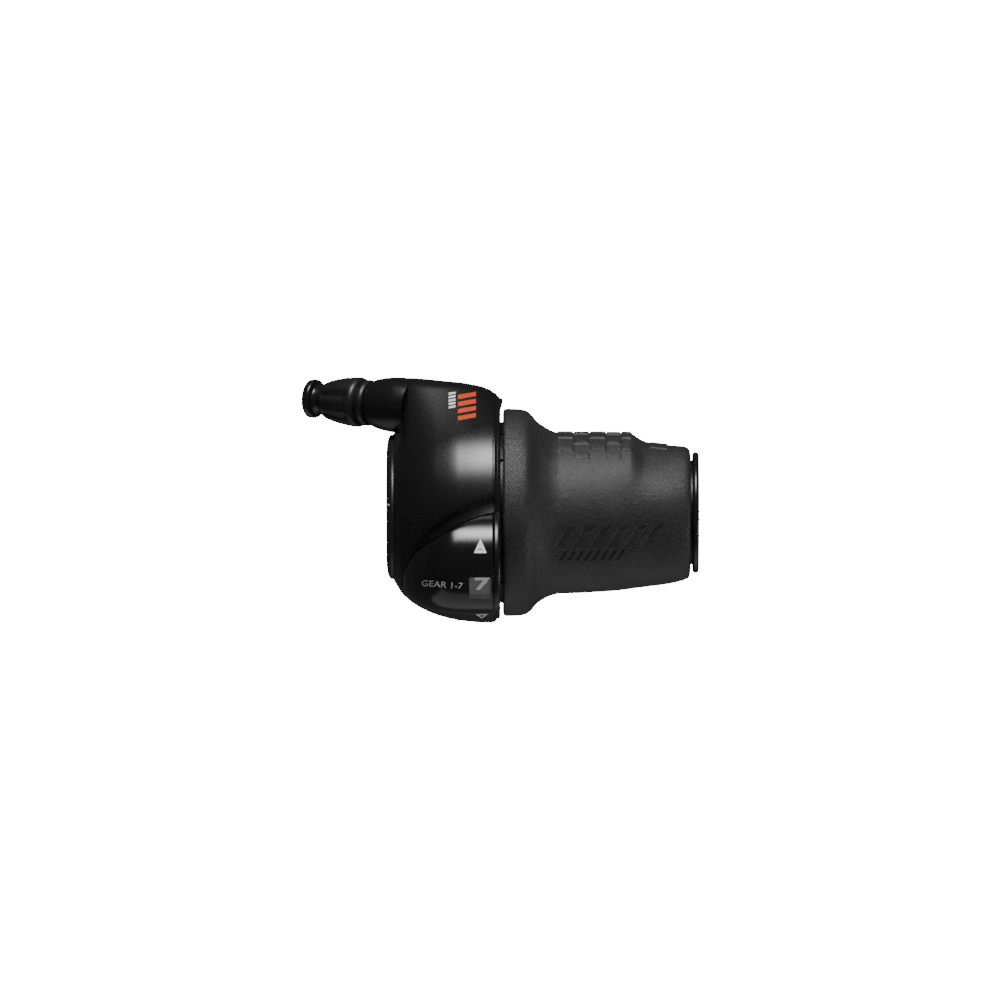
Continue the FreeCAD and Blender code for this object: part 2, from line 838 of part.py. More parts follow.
def make_casing_ferrule():
    """Flanged socket for the end of a 5 mm cable casing."""
    floor = "ferrule_end - casing_depth"
    flange = "ferrule_end - flange_width"
    rim = "ferrule_flange - flange_round"
    body = turned("casing_ferrule", [
        ("ferrule_start", "cable_hole"), (floor, "cable_hole"), (floor, "casing_bore"),
        ("ferrule_end", "casing_bore"), ("ferrule_end", rim),
        ("ferrule_end - flange_round", "ferrule_flange"),
        (flange + " + flange_round", "ferrule_flange"), (flange, rim),
        (flange, "ferrule_radius"), ("ferrule_start", "ferrule_radius"),
    ], {4: "flange_round * 1.1", 6: "flange_round * 1.1"})
    return on_outlet(body)


def guide_path():
    """Straight on the outlet's axis, then one bend towards the drum's groove."""
    inward = outlet_direction() * -1
    groove_x = number("drum_start + drum_width / 2")
    begin = point(("guide_start", *bulge_axis("guide_start")))
    corner = begin + inward * ((groove_x - begin.x) / inward.x)
    reach = math.hypot(corner.y, corner.z)
    contact = math.atan2(corner.z, corner.y) + math.acos(number("groove_radius") / reach)
    onward = Vector(0, -math.sin(contact), math.cos(contact))
    half_turn = inward.getAngle(onward) / 2
    setback = number("guide_bend") * math.tan(half_turn)
    bend_start = corner - inward * setback
    bend_end = corner + onward * setback
    inside = (onward - inward).normalize()
    middle = corner + inside * number("guide_bend") * (1 / math.cos(half_turn) - 1)
    tip = bend_end + onward * number("guide_tip")
    return [
        Part.LineSegment(begin, bend_start).toShape(),
        Part.Arc(bend_start, middle, bend_end).toShape(),
        Part.LineSegment(bend_end, tip).toShape(),
    ], begin, inward


def make_cable_guide():
    """Curved tube that hands the cable on to the drum."""
    edges, begin, inward = guide_path()
    pipes = []
    for text in ("guide_radius", "guide_bore"):
        ring = Part.Wire(Part.makeCircle(number(text), begin, inward))
        pipes.append(Part.Wire(edges).makePipeShell([ring], True, False))
    guide = doc.addObject("Part::Feature", "cable_guide")
    guide.Shape = pipes[0].cut(pipes[1])
    return guide


def plug_direction():
    turn = math.radians(number("plug_angle"))
    return Vector(0, -math.sin(turn), math.cos(turn))


def make_cable_access_plug(shell):
    """Soft plug in the underside, over the drum's nipple pocket, seated on the shell."""
    middle = "drum_start + drum_width / 2"
    away = plug_direction()
    stem = cylinder("plug_post", "plug_radius", "plug_stem",
                    (middle, *at_angle("plug_stem_start", "plug_angle")), away)
    head = cylinder("plug_cap", "plug_head_radius", "plug_head",
                    (middle, *at_angle("plug_head_start", "plug_angle")), away)
    return fuse("cable_access_plug", stem, cut("plug_button", head, shell))


# ---------------------------------------------------------------- detent


def leaf_eye_place():
    """Y and Z of the leaf spring's screw: beside the nose, along the ring's tangent."""
    radius = "detent_radius + leaf_gap"
    across = f"-({radius}) * sin(detent_angle) + leaf_reach * cos(detent_angle)"
    upward = f"({radius}) * cos(detent_angle) + leaf_reach * sin(detent_angle)"
    return across, upward


def make_detent_ring():
    """Ring with one notch per gear."""
    body = turned("detent_ring", [
        ("detent_start", "core_radius"), ("detent_start + detent_width", "core_radius"),
        ("detent_start + detent_width", "detent_radius"), ("detent_start", "detent_radius"),
    ])
    bottom = at_angle("detent_radius - notch_depth", "detent_angle")
    sides = [at_angle("detent_radius + notch_depth / 2", f"detent_angle {side} notch_half_angle")
             for side in "-+"]
    notch = pocket(body, "gear_notch", [bottom, *sides], "detent_start - 0.5",
                   "detent_width + 1")
    angle = "gear_pitch * (gears - 1)"
    pattern_around_bar(body, "gear_notches", notch, angle, int(number("gears")))
    return keyed("detent_ring", body)


def make_detent_spring():
    """Leaf with an eye for its screw and a nose in the notch."""
    body = new_body("leaf_blank")
    top = "detent_radius + leaf_gap"
    low = f"{top} - leaf_thickness"
    nose = "detent_radius - notch_depth + leaf_nose"
    fold = "leaf_nose_half - leaf_thickness / 2"
    sketch = outline(body, "leaf_outline", "YZ_Plane", [
        ("leaf_reach", low), ("leaf_nose_half", low), ("0", nose), ("-leaf_nose_half", low),
        ("-leaf_tail", low), ("-leaf_tail", top), (f"-({fold})", top),
        ("0", f"{nose} + leaf_thickness * 1.4"), (fold, top), ("leaf_reach", top),
    ], None, ("0", "0", "chamber_start"))
    pad = body.newObject("PartDesign::Pad", "leaf_pad")
    pad.Profile = sketch
    pad.setExpression("Length", bound("leaf_width"))
    body.Placement = Placement(Vector(), Rotation(ALONG_BAR, number("detent_angle")))
    eye_at = ("chamber_start", *leaf_eye_place())
    eye = cylinder("leaf_eye_disc", "leaf_eye", "leaf_width", eye_at)
    hole = cylinder("leaf_eye_hole", "leaf_screw", "leaf_width", eye_at)
    return cut("detent_spring", fuse("leaf_whole", body, eye), hole)


def make_detent_screw():
    """Small screw through the leaf spring's eye into the web."""
    sideways, upward = leaf_eye_place()
    shank = cylinder("leaf_screw_shank", "leaf_screw", "leaf_width + leaf_screw_grip",
                     ("chamber_start - leaf_screw_grip", sideways, upward))
    head = cylinder("leaf_screw_head", "leaf_eye", "leaf_head_height",
                    ("chamber_start + leaf_width", sideways, upward))
    top = "chamber_start + leaf_width + leaf_head_height"
    slot = box("leaf_screw_slot",
               (f"{top} - leaf_slot_depth", f"{sideways} - leaf_eye * 1.5",
                f"{upward} - leaf_slot_depth / 2"),
               ("1", "leaf_eye * 3", "leaf_slot_depth"))
    return cut("detent_screw", fuse("leaf_screw_blank", shank, head), slot)


# ---------------------------------------------------------------- rotor


def keyed(label, body):
    """The same ring with the core tube's key cut out of it."""
    body.Label = label + "_blank"
    key = rotor_key(label + "_keyway")
    return cut(label, body, key)


def rotor_key(name):
    return box(name, ("core_start", "-key_half_width", "-key_top"),
               ("key_end - core_start", "2 * key_half_width", "key_top - core_radius + key_root"))


def make_grip_tube():
    """Hard core of the grip, with the notched index flange beside the housing."""
    bore = "sleeve_radius + play"
    body = turned("core_blank", [
        ("core_start", bore), ("core_end", bore), ("core_end", "core_radius"), *CORE_TAPER,
        ("index_start", "index_radius"), ("index_start", "core_radius"),
        ("core_start", "core_radius"),
    ])
    half = "index_notch / 2"
    floor = "index_radius - index_notch_depth"
    notch = pocket(body, "index_notch_cut", [
        ("-" + half, floor), (half, floor), (half, "index_radius + 1"),
        ("-" + half, "index_radius + 1"),
    ], "index_start - 0.5", "rubber_start - index_start + 0.5")
    around = "gear_pitch * (index_notches - 1)"
    pattern_around_bar(body, "index_notches_around", notch, around,
                       int(number("index_notches")))
    low, high = "core_radius + index_notch_depth", "index_radius - index_lip"
    bore_out = turned("core_hollow", [
        ("rubber_start", low), ("index_web_end", low), ("index_web_end", high),
        ("rubber_start", high),
    ])
    key = rotor_key("core_key")
    return cut("grip_tube", fuse("core_with_key", body, key), bore_out)


def make_rubber_grip():
    """Soft sleeve: a flare beside the housing, a waist, and a slow taper outboard."""
    inside = [("rubber_end", "core_radius"), ("core_end", "core_radius"), *CORE_TAPER]
    return turned("rubber_grip", RUBBER_PROFILE + inside, RUBBER_ARCS)


def make_cable_drum():
    """Pulley with a groove and a pocket for the cable's nipple."""
    end = "drum_start + drum_width"
    middle = "drum_start + drum_width / 2"
    body = turned("drum_blank", [
        ("drum_start", "core_radius"), (end, "core_radius"), (end, "drum_radius"),
        (f"{middle} + groove_half_width", "drum_radius"),
        (f"{middle} + groove_half_width", "groove_radius"),
        (f"{middle} - groove_half_width", "groove_radius"),
        (f"{middle} - groove_half_width", "drum_radius"), ("drum_start", "drum_radius"),
    ])
    nipple = cylinder("nipple_pocket", "nipple_radius", "drum_width / 2 + groove_half_width",
                      ("drum_start", *at_angle("groove_radius - nipple_depth", "plug_angle")))
    mouth = box("nipple_mouth", (f"{middle} - groove_half_width", "-nipple_way / 2", "0"),
                ("2 * groove_half_width", "nipple_way", "drum_radius"),
                Rotation(ALONG_BAR, number("plug_angle")))
    bore = cylinder("nipple_mouth_core", "groove_radius - nipple_depth * 1.2",
                    "2 * drum_width", ("drum_start - drum_width / 2", "0", "0"))
    pulley = cut("drum_pulley", body, nipple, cut("nipple_way", mouth, bore))
    return keyed("cable_drum", pulley)


def make_indicator_ring():
    """Thin ring that carries the gear numbers, on its own web."""
    web = "number_start + number_web"
    inner = "number_radius - number_wall"
    body = turned("number_blank", [
        ("number_start", "core_radius"), (web, "core_radius"), (web, inner),
        ("number_end", inner), ("number_end", "number_radius"),
        ("number_start", "number_radius"),
    ])
    return keyed("indicator_ring", body)


# ---------------------------------------------------------------- the whole shifter

housing_shell = make_housing_shell()
pod_room, display_cover, display_window = make_display()
clamp_band, clamp_bolt, clamp_washer, clamp_nut = make_clamp()

NODES = {
    "main_housing": make_main_housing(housing_shell, pod_room),
    "inboard_cover": make_inboard_cover(),
    "cover_screws": make_cover_screws(),
    "display_cover": display_cover,
    "display_window": display_window,
    "bar_sleeve": make_bar_sleeve(),
    "end_collar": make_end_collar(),
    "retaining_ring": make_retaining_ring(),
    "clamp_band": clamp_band,
    "clamp_bolt": clamp_bolt,
    "clamp_washer": clamp_washer,
    "clamp_nut": clamp_nut,
    "adjuster_insert": make_adjuster_insert(),
    "adjuster_barrel": make_adjuster_barrel(),
    "casing_ferrule": make_casing_ferrule(),
    "cable_guide": make_cable_guide(),
    "cable_access_plug": make_cable_access_plug(housing_shell),
    "detent_ring": make_detent_ring(),
    "detent_spring": make_detent_spring(),
    "detent_screw": make_detent_screw(),
    "grip_tube": make_grip_tube(),
    "rubber_grip": make_rubber_grip(),
    "cable_drum": make_cable_drum(),
    "indicator_ring": make_indicator_ring(),
}

doc.recompute()

for item in doc.Objects:
    if "Invalid" in item.State or "Error" in item.State:
        raise RuntimeError(f"{item.Label} failed: {item.State}")

os.makedirs("parts", exist_ok=True)
for name, node in NODES.items():
    node.Label = name
    shape = node.Shape
    if shape.isNull() or not shape.isValid() or shape.Volume <= 0:
        raise RuntimeError(f"{name} has no valid solid")
    shape.exportStep(f"parts/{name}.step")
    print(f"{name}: {len(shape.Solids)} solid(s), {shape.Volume / 1000:.3f} cm3")
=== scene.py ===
import json
import math

import bmesh
import bpy
import numpy as np
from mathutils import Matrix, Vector


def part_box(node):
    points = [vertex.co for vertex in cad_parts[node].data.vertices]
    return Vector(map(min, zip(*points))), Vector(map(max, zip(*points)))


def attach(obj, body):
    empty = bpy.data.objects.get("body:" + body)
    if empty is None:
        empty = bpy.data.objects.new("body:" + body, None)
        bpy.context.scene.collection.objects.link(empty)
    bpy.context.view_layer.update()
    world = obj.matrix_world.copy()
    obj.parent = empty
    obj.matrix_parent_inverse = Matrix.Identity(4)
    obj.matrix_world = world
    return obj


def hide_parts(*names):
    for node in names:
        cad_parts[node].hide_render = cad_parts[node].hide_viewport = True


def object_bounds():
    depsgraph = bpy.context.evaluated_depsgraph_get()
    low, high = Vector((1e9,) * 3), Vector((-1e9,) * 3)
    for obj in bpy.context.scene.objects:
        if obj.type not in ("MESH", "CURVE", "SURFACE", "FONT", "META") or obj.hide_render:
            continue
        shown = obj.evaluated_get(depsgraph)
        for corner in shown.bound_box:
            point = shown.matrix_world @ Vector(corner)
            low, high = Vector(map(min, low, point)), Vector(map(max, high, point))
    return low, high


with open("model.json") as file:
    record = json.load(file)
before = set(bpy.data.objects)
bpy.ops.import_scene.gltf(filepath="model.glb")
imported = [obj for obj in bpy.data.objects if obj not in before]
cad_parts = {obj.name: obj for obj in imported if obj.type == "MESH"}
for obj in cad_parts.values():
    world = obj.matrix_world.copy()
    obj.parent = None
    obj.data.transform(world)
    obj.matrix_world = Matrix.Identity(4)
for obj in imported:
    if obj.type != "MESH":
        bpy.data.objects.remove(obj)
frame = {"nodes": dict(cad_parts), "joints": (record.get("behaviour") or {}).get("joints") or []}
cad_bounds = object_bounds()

# Twist-grip gear shifter. Lengths below are in millimetres and turn into metres in mesh_from().
# +X runs outboard along the handlebar, +Y forward to the cable side, +Z up.

MM = 0.001
TURN = 2 * math.pi
AROUND = 256  # points in a ring of a large turned piece


def node_span(node):
    """The lowest and highest corners of a CAD node, in millimetres."""
    low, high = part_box(node)
    return Vector(low) / MM, Vector(high) / MM


RING_LOW, RING_HIGH = node_span("indicator_ring")
COLLAR_LOW, COLLAR_HIGH = node_span("end_collar")
SLEEVE_RADIUS = node_span("bar_sleeve")[1].y
RING_RADIUS = RING_HIGH.y
SHELL_START = node_span("inboard_cover")[1].x
SHELL_END = node_span("main_housing")[1].x
GRIP_END = node_span("rubber_grip")[1].x

joints = {joint["name"]: joint for joint in frame["joints"]}
OUTLET_START = Vector(joints["adjuster_turn"]["pos_m"]) / MM
OUTLET_AXIS = Vector(joints["adjuster_turn"]["axis"]).normalized()


# ---------------------------------------------------------------- curves and meshes


def smooth_curve(stations):
    """A smooth function through (place, value) pairs that never overshoots them."""
    places = np.array([place for place, _ in stations], float)
    values = np.array([value for _, value in stations], float)
    steps = np.diff(places)
    slopes = np.diff(values) / steps
    tangents = np.zeros(len(places))
    tangents[0], tangents[-1] = slopes[0], slopes[-1]
    for i in range(1, len(places) - 1):
        before, after = slopes[i - 1], slopes[i]
        if before * after > 0:
            wide = 2 * steps[i] + steps[i - 1]
            narrow = steps[i] + 2 * steps[i - 1]
            tangents[i] = (wide + narrow) / (wide / before + narrow / after)

    def curve(at):
        at = np.clip(np.asarray(at, float), places[0], places[-1])
        i = np.clip(np.searchsorted(places, at) - 1, 0, len(steps) - 1)
        part = (at - places[i]) / steps[i]
        rest = 1 - part
        return (values[i] * (1 + 2 * part) * rest ** 2
                + tangents[i] * steps[i] * part * rest ** 2
                + values[i + 1] * part ** 2 * (3 - 2 * part)
                - tangents[i + 1] * steps[i] * part ** 2 * rest)

    return curve


def ease(low, high, value):
    """0 below low, 1 above high, and a smooth rise between."""
    part = np.clip((value - low) / (high - low), 0, 1)
    return part * part * (3 - 2 * part)


def mesh_from(name, points, faces, smooth=True):
    """A mesh object from points in millimetres."""
    mesh = bpy.data.meshes.new(name)
    mesh.from_pydata([tuple(p) for p in np.asarray(points, float) * MM], [], faces)
    mesh.validate()
    piece = bpy.data.objects.new(name, mesh)
    bpy.context.scene.collection.objects.link(piece)
    build = bmesh.new()
    build.from_mesh(mesh)
    bmesh.ops.recalc_face_normals(build, faces=build.faces)
    build.to_mesh(mesh)
    build.free()
    mesh.polygons.foreach_set("use_smooth", [smooth] * len(mesh.polygons))
    return piece


def ring_faces(rings, across, closed):
    """Quads between neighbouring rings; closed joins the last ring to the first."""
    faces = []
    for i in range(rings if closed else rings - 1):
        here, there = i * across, ((i + 1) % rings) * across
        for k in range(across):
            nxt = (k + 1) % across
            faces.append((here + k, here + nxt, there + nxt, there + k))
    return faces


def lofted(name, rings, closed=True):
    """A tube through rings of points. An open tube gets flat caps."""
    rings = np.asarray(rings, float)
    count, across = rings.shape[:2]
    faces = ring_faces(count, across, closed)
    if not closed:
        faces.append(tuple(range(across)))
        faces.append(tuple((count - 1) * across + k for k in reversed(range(across))))
    return mesh_from(name, rings.reshape(-1, 3), faces)


def ring_about_bar(along, radius, count=AROUND):
    """A ring about the bar. Its points start forward and turn upwards."""
    turn = np.arange(count) * TURN / count
    along = np.broadcast_to(along, turn.shape)
    return np.stack([along, radius * np.cos(turn), radius * np.sin(turn)], 1)


def revolved(name, profile, count=AROUND):
    """A piece turned about the bar, from (along, radius) pairs."""
    return lofted(name, [ring_about_bar(x, r, count) for x, r in profile])


def rounded(profile, radius, steps=5):
    """The same closed outline with every corner rounded, where its sides allow it."""
    corners = [Vector(point) for point in profile]
    smooth = []
    for i, corner in enumerate(corners):
        before = corners[i - 1] - corner
        after = corners[(i + 1) % len(corners)] - corner
        reach = min(radius, before.length * 0.45, after.length * 0.45)
        first = corner + before.normalized() * reach
        last = corner + after.normalized() * reach
        for step in range(steps + 1):
            part = step / steps
            point = first * (1 - part) ** 2 + corner * (2 * part * (1 - part)) + last * part ** 2
            smooth.append((point.x, point.y))
    return smooth


def on_outlet(points):
    """Moves points drawn along +X on to the cable outlet's axis."""
    turn = Vector((1, 0, 0)).rotation_difference(OUTLET_AXIS).to_matrix()
    start = np.array(OUTLET_START)
    return np.asarray(points, float) @ np.array(turn).T + start


def carve(piece, cutter, operation="DIFFERENCE"):
    """Applies a boolean with a cutter that is then deleted."""
    change = piece.modifiers.new("carve", "BOOLEAN")
    change.operation = operation
    change.solver = "MANIFOLD"
    change.object = cutter
    settle(piece)
    bpy.data.objects.remove(cutter)


def settle(piece):
    """Replaces a piece's mesh by what its modifiers make of it."""
    graph = bpy.context.evaluated_depsgraph_get()
    graph.update()
    mesh = bpy.data.meshes.new_from_object(piece.evaluated_get(graph))
    piece.modifiers.clear()
    piece.data = mesh


def crisp(piece, degrees=32):
    """Smooth shading that stops at edges sharper than an angle."""
    piece.data.shade_smooth()
    piece.data.set_sharp_from_angle(angle=math.radians(degrees))


def block(name, low, high):
    """A box cutter between two corners."""
    corners = [(x, y, z) for x in (low[0], high[0]) for y in (low[1], high[1])
               for z in (low[2], high[2])]
    faces = [(0, 1, 3, 2), (4, 6, 7, 5), (0, 4, 5, 1), (2, 3, 7, 6), (0, 2, 6, 4), (1, 5, 7, 3)]
    return mesh_from(name, corners, faces, smooth=False)


def rod(name, start, direction, length, radius, count=48):
    """A round cutter from a place, along a direction."""
    side = Vector(direction).normalized()
    across = side.orthogonal().normalized()
    other = side.cross(across)
    rings = []
    for reach in (0, length):
        middle = Vector(start) + side * reach
        rings.append([middle + (across * math.cos(a) + other * math.sin(a)) * radius
                      for a in np.arange(count) * TURN / count])
    return lofted(name, rings, closed=False)


# ---------------------------------------------------------------- housing shell

SHELL_RADIUS = smooth_curve([
    (1.8, 16.8), (2.65, 18.3), (3.75, 20.1), (5.3, 21.65), (7.3, 23.1), (9.8, 24.5),
    (12.65, 25.65), (18.4, 27.05), (25.2, 27.6), (30, 27.6)])
BULGE_SIZE = smooth_curve([
    (1.8, 3.2), (2.5, 4.0), (3.5, 5.3), (4.4, 6.5), (5.4, 7.0), (8, 7.1), (16, 6.95)])
BULGE_ROOT = 5.4  # from here outboard the bulge follows the cable outlet's axis
BULGE_FORWARD = smooth_curve([(1.8, 16.4), (2.5, 17.3), (3.5, 20.5), (4.4, 25.0),
                              (BULGE_ROOT, 26.6)])
BULGE_TURN = 21.3  # the front bulge's axis runs straight along the bar from here
BEND_START = 4.0  # it stops rising gently between these places
BEND_END = 18.4
NOSE_START = 16.0  # the bulge narrows from here to a blunt nose
NOSE_LENGTH = 13.15
NOSE_POKE = 0.9  # how far the nose stands out past the CAD shell
NOSE_HALF = math.radians(11)
RIM_START = 27.0  # the rim is a plate behind the display, with a groove before it
RIM_LIP = 0.15
GROOVE_WIDTH = 0.2
GROOVE_DEPTH = 0.18
RIM_POKE = 0.3  # how far the rest of the rim stands out past the CAD shell
RIM_FALL = 1.7  # how far the rim falls away towards the grip, beside the bulge and the pod
BESIDE_LOW, BESIDE_HIGH = math.radians(20), math.radians(30)  # angles away from the bulge
EDGE_ROUND = 0.8
WEB_START, WEB_END = 9.6, 12.2  # the web across the housing
WEB_BORE = 13.0
CLAMP_ROOM = 13.7
RING_ROOM = RING_RADIUS + 0.85
SLOT_HALF = 7.5  # half the width of the clamp's slot underneath
KEY_RADIUS = 2.6
PLUG_RADIUS = 2.5
OUTSIDE = 31  # a place outboard of the whole housing
COVER_BORE = 12.45
SCREW_CIRCLE = 15.1
SCREW_ANGLES = (-5, 115, 235)
SCREW_HEAD = 1.4


def outlet_line(along):
    """Y and Z of the bulge's axis: the cable outlet's axis, levelling off."""
    run = (np.minimum(along, BULGE_TURN) - OUTLET_START.x) / OUTLET_AXIS.x
    past = np.clip(along - BEND_START, 0, BEND_END - BEND_START)
    level = np.minimum(along, BEND_END) - past ** 2 / (2 * (BEND_END - BEND_START))
    rise = (level - OUTLET_START.x) / OUTLET_AXIS.x
    return OUTLET_START.y + OUTLET_AXIS.y * run, OUTLET_START.z + OUTLET_AXIS.z * rise


def bulge_centre(along):
    forward, up = outlet_line(along)
    early = BULGE_FORWARD(along)
    return np.where(along < BULGE_ROOT, np.minimum(early, forward), forward), up


def bulge_size(along):
    """Radius of the front bulge."""
    nose = np.clip((np.asarray(along, float) - NOSE_START) / NOSE_LENGTH, 0, 0.9995)
    return BULGE_SIZE(along) * (1 - nose ** 2.5) ** 0.4


def angle_off(angle, forward, up):
    """Unsigned angle between a direction around the bar and a place's direction."""
    return np.abs((angle - np.arctan2(up, forward) + math.pi) % TURN - math.pi)


def hull_radius(angle, along):
    """Radius of the line that wraps the bar's circle and the bulge's circle."""
    big, small = SHELL_RADIUS(along), bulge_size(along)
    forward, up = bulge_centre(along)
    reach = np.hypot(forward, up)
    off = angle_off(angle, forward, up)
    spread = np.arccos(np.clip((big - small) / reach, -1, 1))
    contact = np.arctan2(small * np.sin(spread), reach + small * np.cos(spread))
    flat = big / np.cos(np.minimum(off - spread, 0))
    inside = np.maximum(small ** 2 - (reach * np.sin(off)) ** 2, 0)
    ball = reach * np.cos(off) + np.sqrt(inside)
    return np.where(off >= spread, big, np.where(off > contact, flat, ball))


# The display pod is a bullet of circles. Its forward side ends in a wall at the seam. Its curves
# run over the square root of how far along the pod a place is, so that the tip is blunt.
POD_TIP = 4.1
POD_END = RIM_START - 0.2
POD_ROUND = 0.35
POD_RADIUS = smooth_curve([(0, 0.02), (0.094, 2.9), (0.239, 7.4), (0.392, 10.4), (0.589, 12.4),
                           (0.677, 12.9), (0.755, 13.2), (0.853, 13.3), (1, 13.35)])
POD_Y = smooth_curve([(0, -16.6), (0.094, -15.6), (0.239, -13.6), (0.392, -12.4),
                      (0.589, -12.0), (0.755, -11.9), (1, -11.9)])
POD_Z = smooth_curve([(0, 11.2), (0.094, 10.9), (0.239, 11.2), (0.392, 13.5), (0.589, 18.3),
                      (0.677, 19.55), (0.755, 20.05), (0.853, 20.3), (1, 20.7)])
SEAM_Y = smooth_curve([(4.1, -17.0), (4.4, -15.2), (5.8, -12.5), (7.3, -10.5), (9.55, -8.7),
                       (12.65, -6.7), (16.25, -4.5), (20.7, -2.2), (25.2, -0.55), (27, 0.0)])
SEAM_ROUND = 0.45
CREASE_DEPTH = smooth_curve([(4.1, 0.02), (6.6, 0.1), (9, 0.25), (13, 0.42), (18, 0.55),
                             (28, 0.6)])
CREASE_PLACE = smooth_curve([(4.1, 0.8), (6.6, 1.3), (8.3, 1.7), (11.6, 2.4), (15.7, 2.9),
                             (28, 2.8)])
CREASE_SIDE = 2.4  # how far the shell takes to fall to the crease


def seam_drop(angle, along, radius):
    """How far the shell falls above the display: a lip down to a crease, then back up."""
    distance = radius * np.cos(angle) - SEAM_Y(along)
    crease = CREASE_PLACE(along)
    lip = 1 - (1 - np.clip(distance / crease, 0, 1)) ** 1.8
    rise = (1 - np.clip((distance - crease) / CREASE_SIDE, 0, 1)) ** 2
    drop = CREASE_DEPTH(along) * np.where(distance < crease, lip, rise)
    return np.where(np.sin(angle) > 0, drop, 0) * ease(POD_TIP - 1, POD_TIP + 1.5, along)


def pod_reach(angle):
    """How far the pod's outboard end stands from the bar's axis; 0 beside it."""
    across, upward, size = float(POD_Y(1)), float(POD_Z(1)), float(POD_RADIUS(1))
    reach = math.hypot(across, upward)
    off = angle_off(angle, across, upward)
    inside = np.where(off < math.pi / 2, size ** 2 - (reach * np.sin(off)) ** 2, 0)
    return np.where(inside > 0, reach * np.cos(off) + np.sqrt(np.maximum(inside, 0)), 0)


def shell_rings():
    """Rings of the housing: its outside from the inboard end, then back along its inside."""
    turn = np.arange(2 * AROUND) * TURN / (2 * AROUND)
    away = angle_off(turn, *bulge_centre(np.array(BEND_END)))
    poke = NOSE_POKE * np.sqrt(np.clip(1 - (away / NOSE_HALF) ** 2, 0, 1))
    beside = ease(BESIDE_LOW, BESIDE_HIGH, away)
    rings = []

    def ring(along, radius):
        along = np.broadcast_to(along, turn.shape)
        rings.append(np.stack([along, radius * np.cos(turn), radius * np.sin(turn)], 1))

    def rim_radius(along):
        share = np.clip((along - RIM_START) / (SHELL_END - RIM_START), 0, 1)
        plain = hull_radius(turn, along) - RIM_FALL * share * beside
        return np.maximum(plain, pod_reach(turn))

    def creased(along):
        plain = hull_radius(turn, along)
        return plain - seam_drop(turn, along, plain)

    groove = RIM_START - GROOVE_WIDTH
    shares = np.concatenate([np.linspace(0, 0.22, 34)[:-1], np.linspace(0.22, 1, 84)])
    for along in SHELL_START + (groove - GROOVE_WIDTH - SHELL_START) * shares:
        ring(along, creased(along))
    ring(groove - 0.05, creased(groove) - 0.06)
    ring(groove, creased(groove) - GROOVE_DEPTH)
    ring(RIM_START, creased(groove) - GROOVE_DEPTH)
    ring(RIM_START, rim_radius(RIM_START) - RIM_LIP)
    ring(RIM_START + RIM_LIP, rim_radius(RIM_START))
    start = RIM_START + RIM_LIP
    end = SHELL_END + np.maximum(poke, RIM_POKE) - EDGE_ROUND
    for share in np.linspace(0, 1, 9)[1:]:
        along = start + (end - start) * share
        ring(along, rim_radius(along))
    for bend in np.linspace(0, math.pi / 2, 6)[1:]:
        ring(end + EDGE_ROUND * math.sin(bend),
             rim_radius(end) - EDGE_ROUND * (1 - math.cos(bend)))
    for along, radius in ((SHELL_END, RING_ROOM), (WEB_END, RING_ROOM), (WEB_END, WEB_BORE),
                          (WEB_START, WEB_BORE), (WEB_START, CLAMP_ROOM),
                          (SHELL_START, CLAMP_ROOM)):
        ring(along, np.full(turn.shape, radius))
    return rings


def make_housing():
    """Glossy shell with the openings on its underside, and the hole under the display."""
    shell = lofted("housing_shell", shell_rings())
    carve(shell, block("slot_cutter", (SHELL_START - 1, -SLOT_HALF, -30),
                       (WEB_START, SLOT_HALF, -10)))
    bolt_low, bolt_high = node_span("clamp_bolt")
    bolt = (bolt_low + bolt_high) / 2
    carve(shell, rod("key_cutter", (bolt.x, -6.5, bolt.z), (0, -1, 0), 22, KEY_RADIUS))
    plug_low, plug_high = node_span("cable_access_plug")
    plug = (plug_low + plug_high) / 2
    carve(shell, rod("plug_cutter", (plug.x, plug.y * 0.8, plug.z * 0.8), (0, plug.y, plug.z),
                     9, PLUG_RADIUS))
    opening = pod_piece("pod_opening", 1.3)
    core = [(0, 1), (0, 17), (7, 20.5), (11, 22.5), (12.4, RING_RADIUS), (OUTSIDE, RING_RADIUS),
            (OUTSIDE, 1)]
    carve(opening, revolved("opening_core", core, count=96))
    over_ring = block("opening_block", (RING_LOW.x + 0.1, -40, -10), (OUTSIDE, 30, 60))
    carve(opening, over_ring, "INTERSECT")
    carve(shell, opening)
    seat = pod_piece("pod_seat", -0.22)
    ledge = [(x, float(SHELL_RADIUS(x)) - 0.9) for x in np.linspace(0, OUTSIDE, 40)]
    carve(seat, revolved("seat_core", [(0, 1)] + ledge + [(OUTSIDE, 1)], count=192))
    carve(shell, seat)
    crisp(shell, 40)
    return shell


def make_boss():
    """Round outlet that the barrel adjuster screws into."""
    profile = [(-12, 4.4), (-12, 6.5), (-9.5, 6.95), (-8, 7.0), (-5.5, 6.88), (-3.6, 6.62),
               (-2.5, 6.42), (-1.7, 6.22), (-1.0, 5.98), (-0.45, 5.68), (-0.12, 5.38),
               (0, 5.1), (0, 4.45), (-0.1, 4.4)]
    rings = [on_outlet(ring_about_bar(x, r, 128)) for x, r in profile]
    boss = lofted("cable_boss", rings)
    crisp(boss, 50)
    return boss


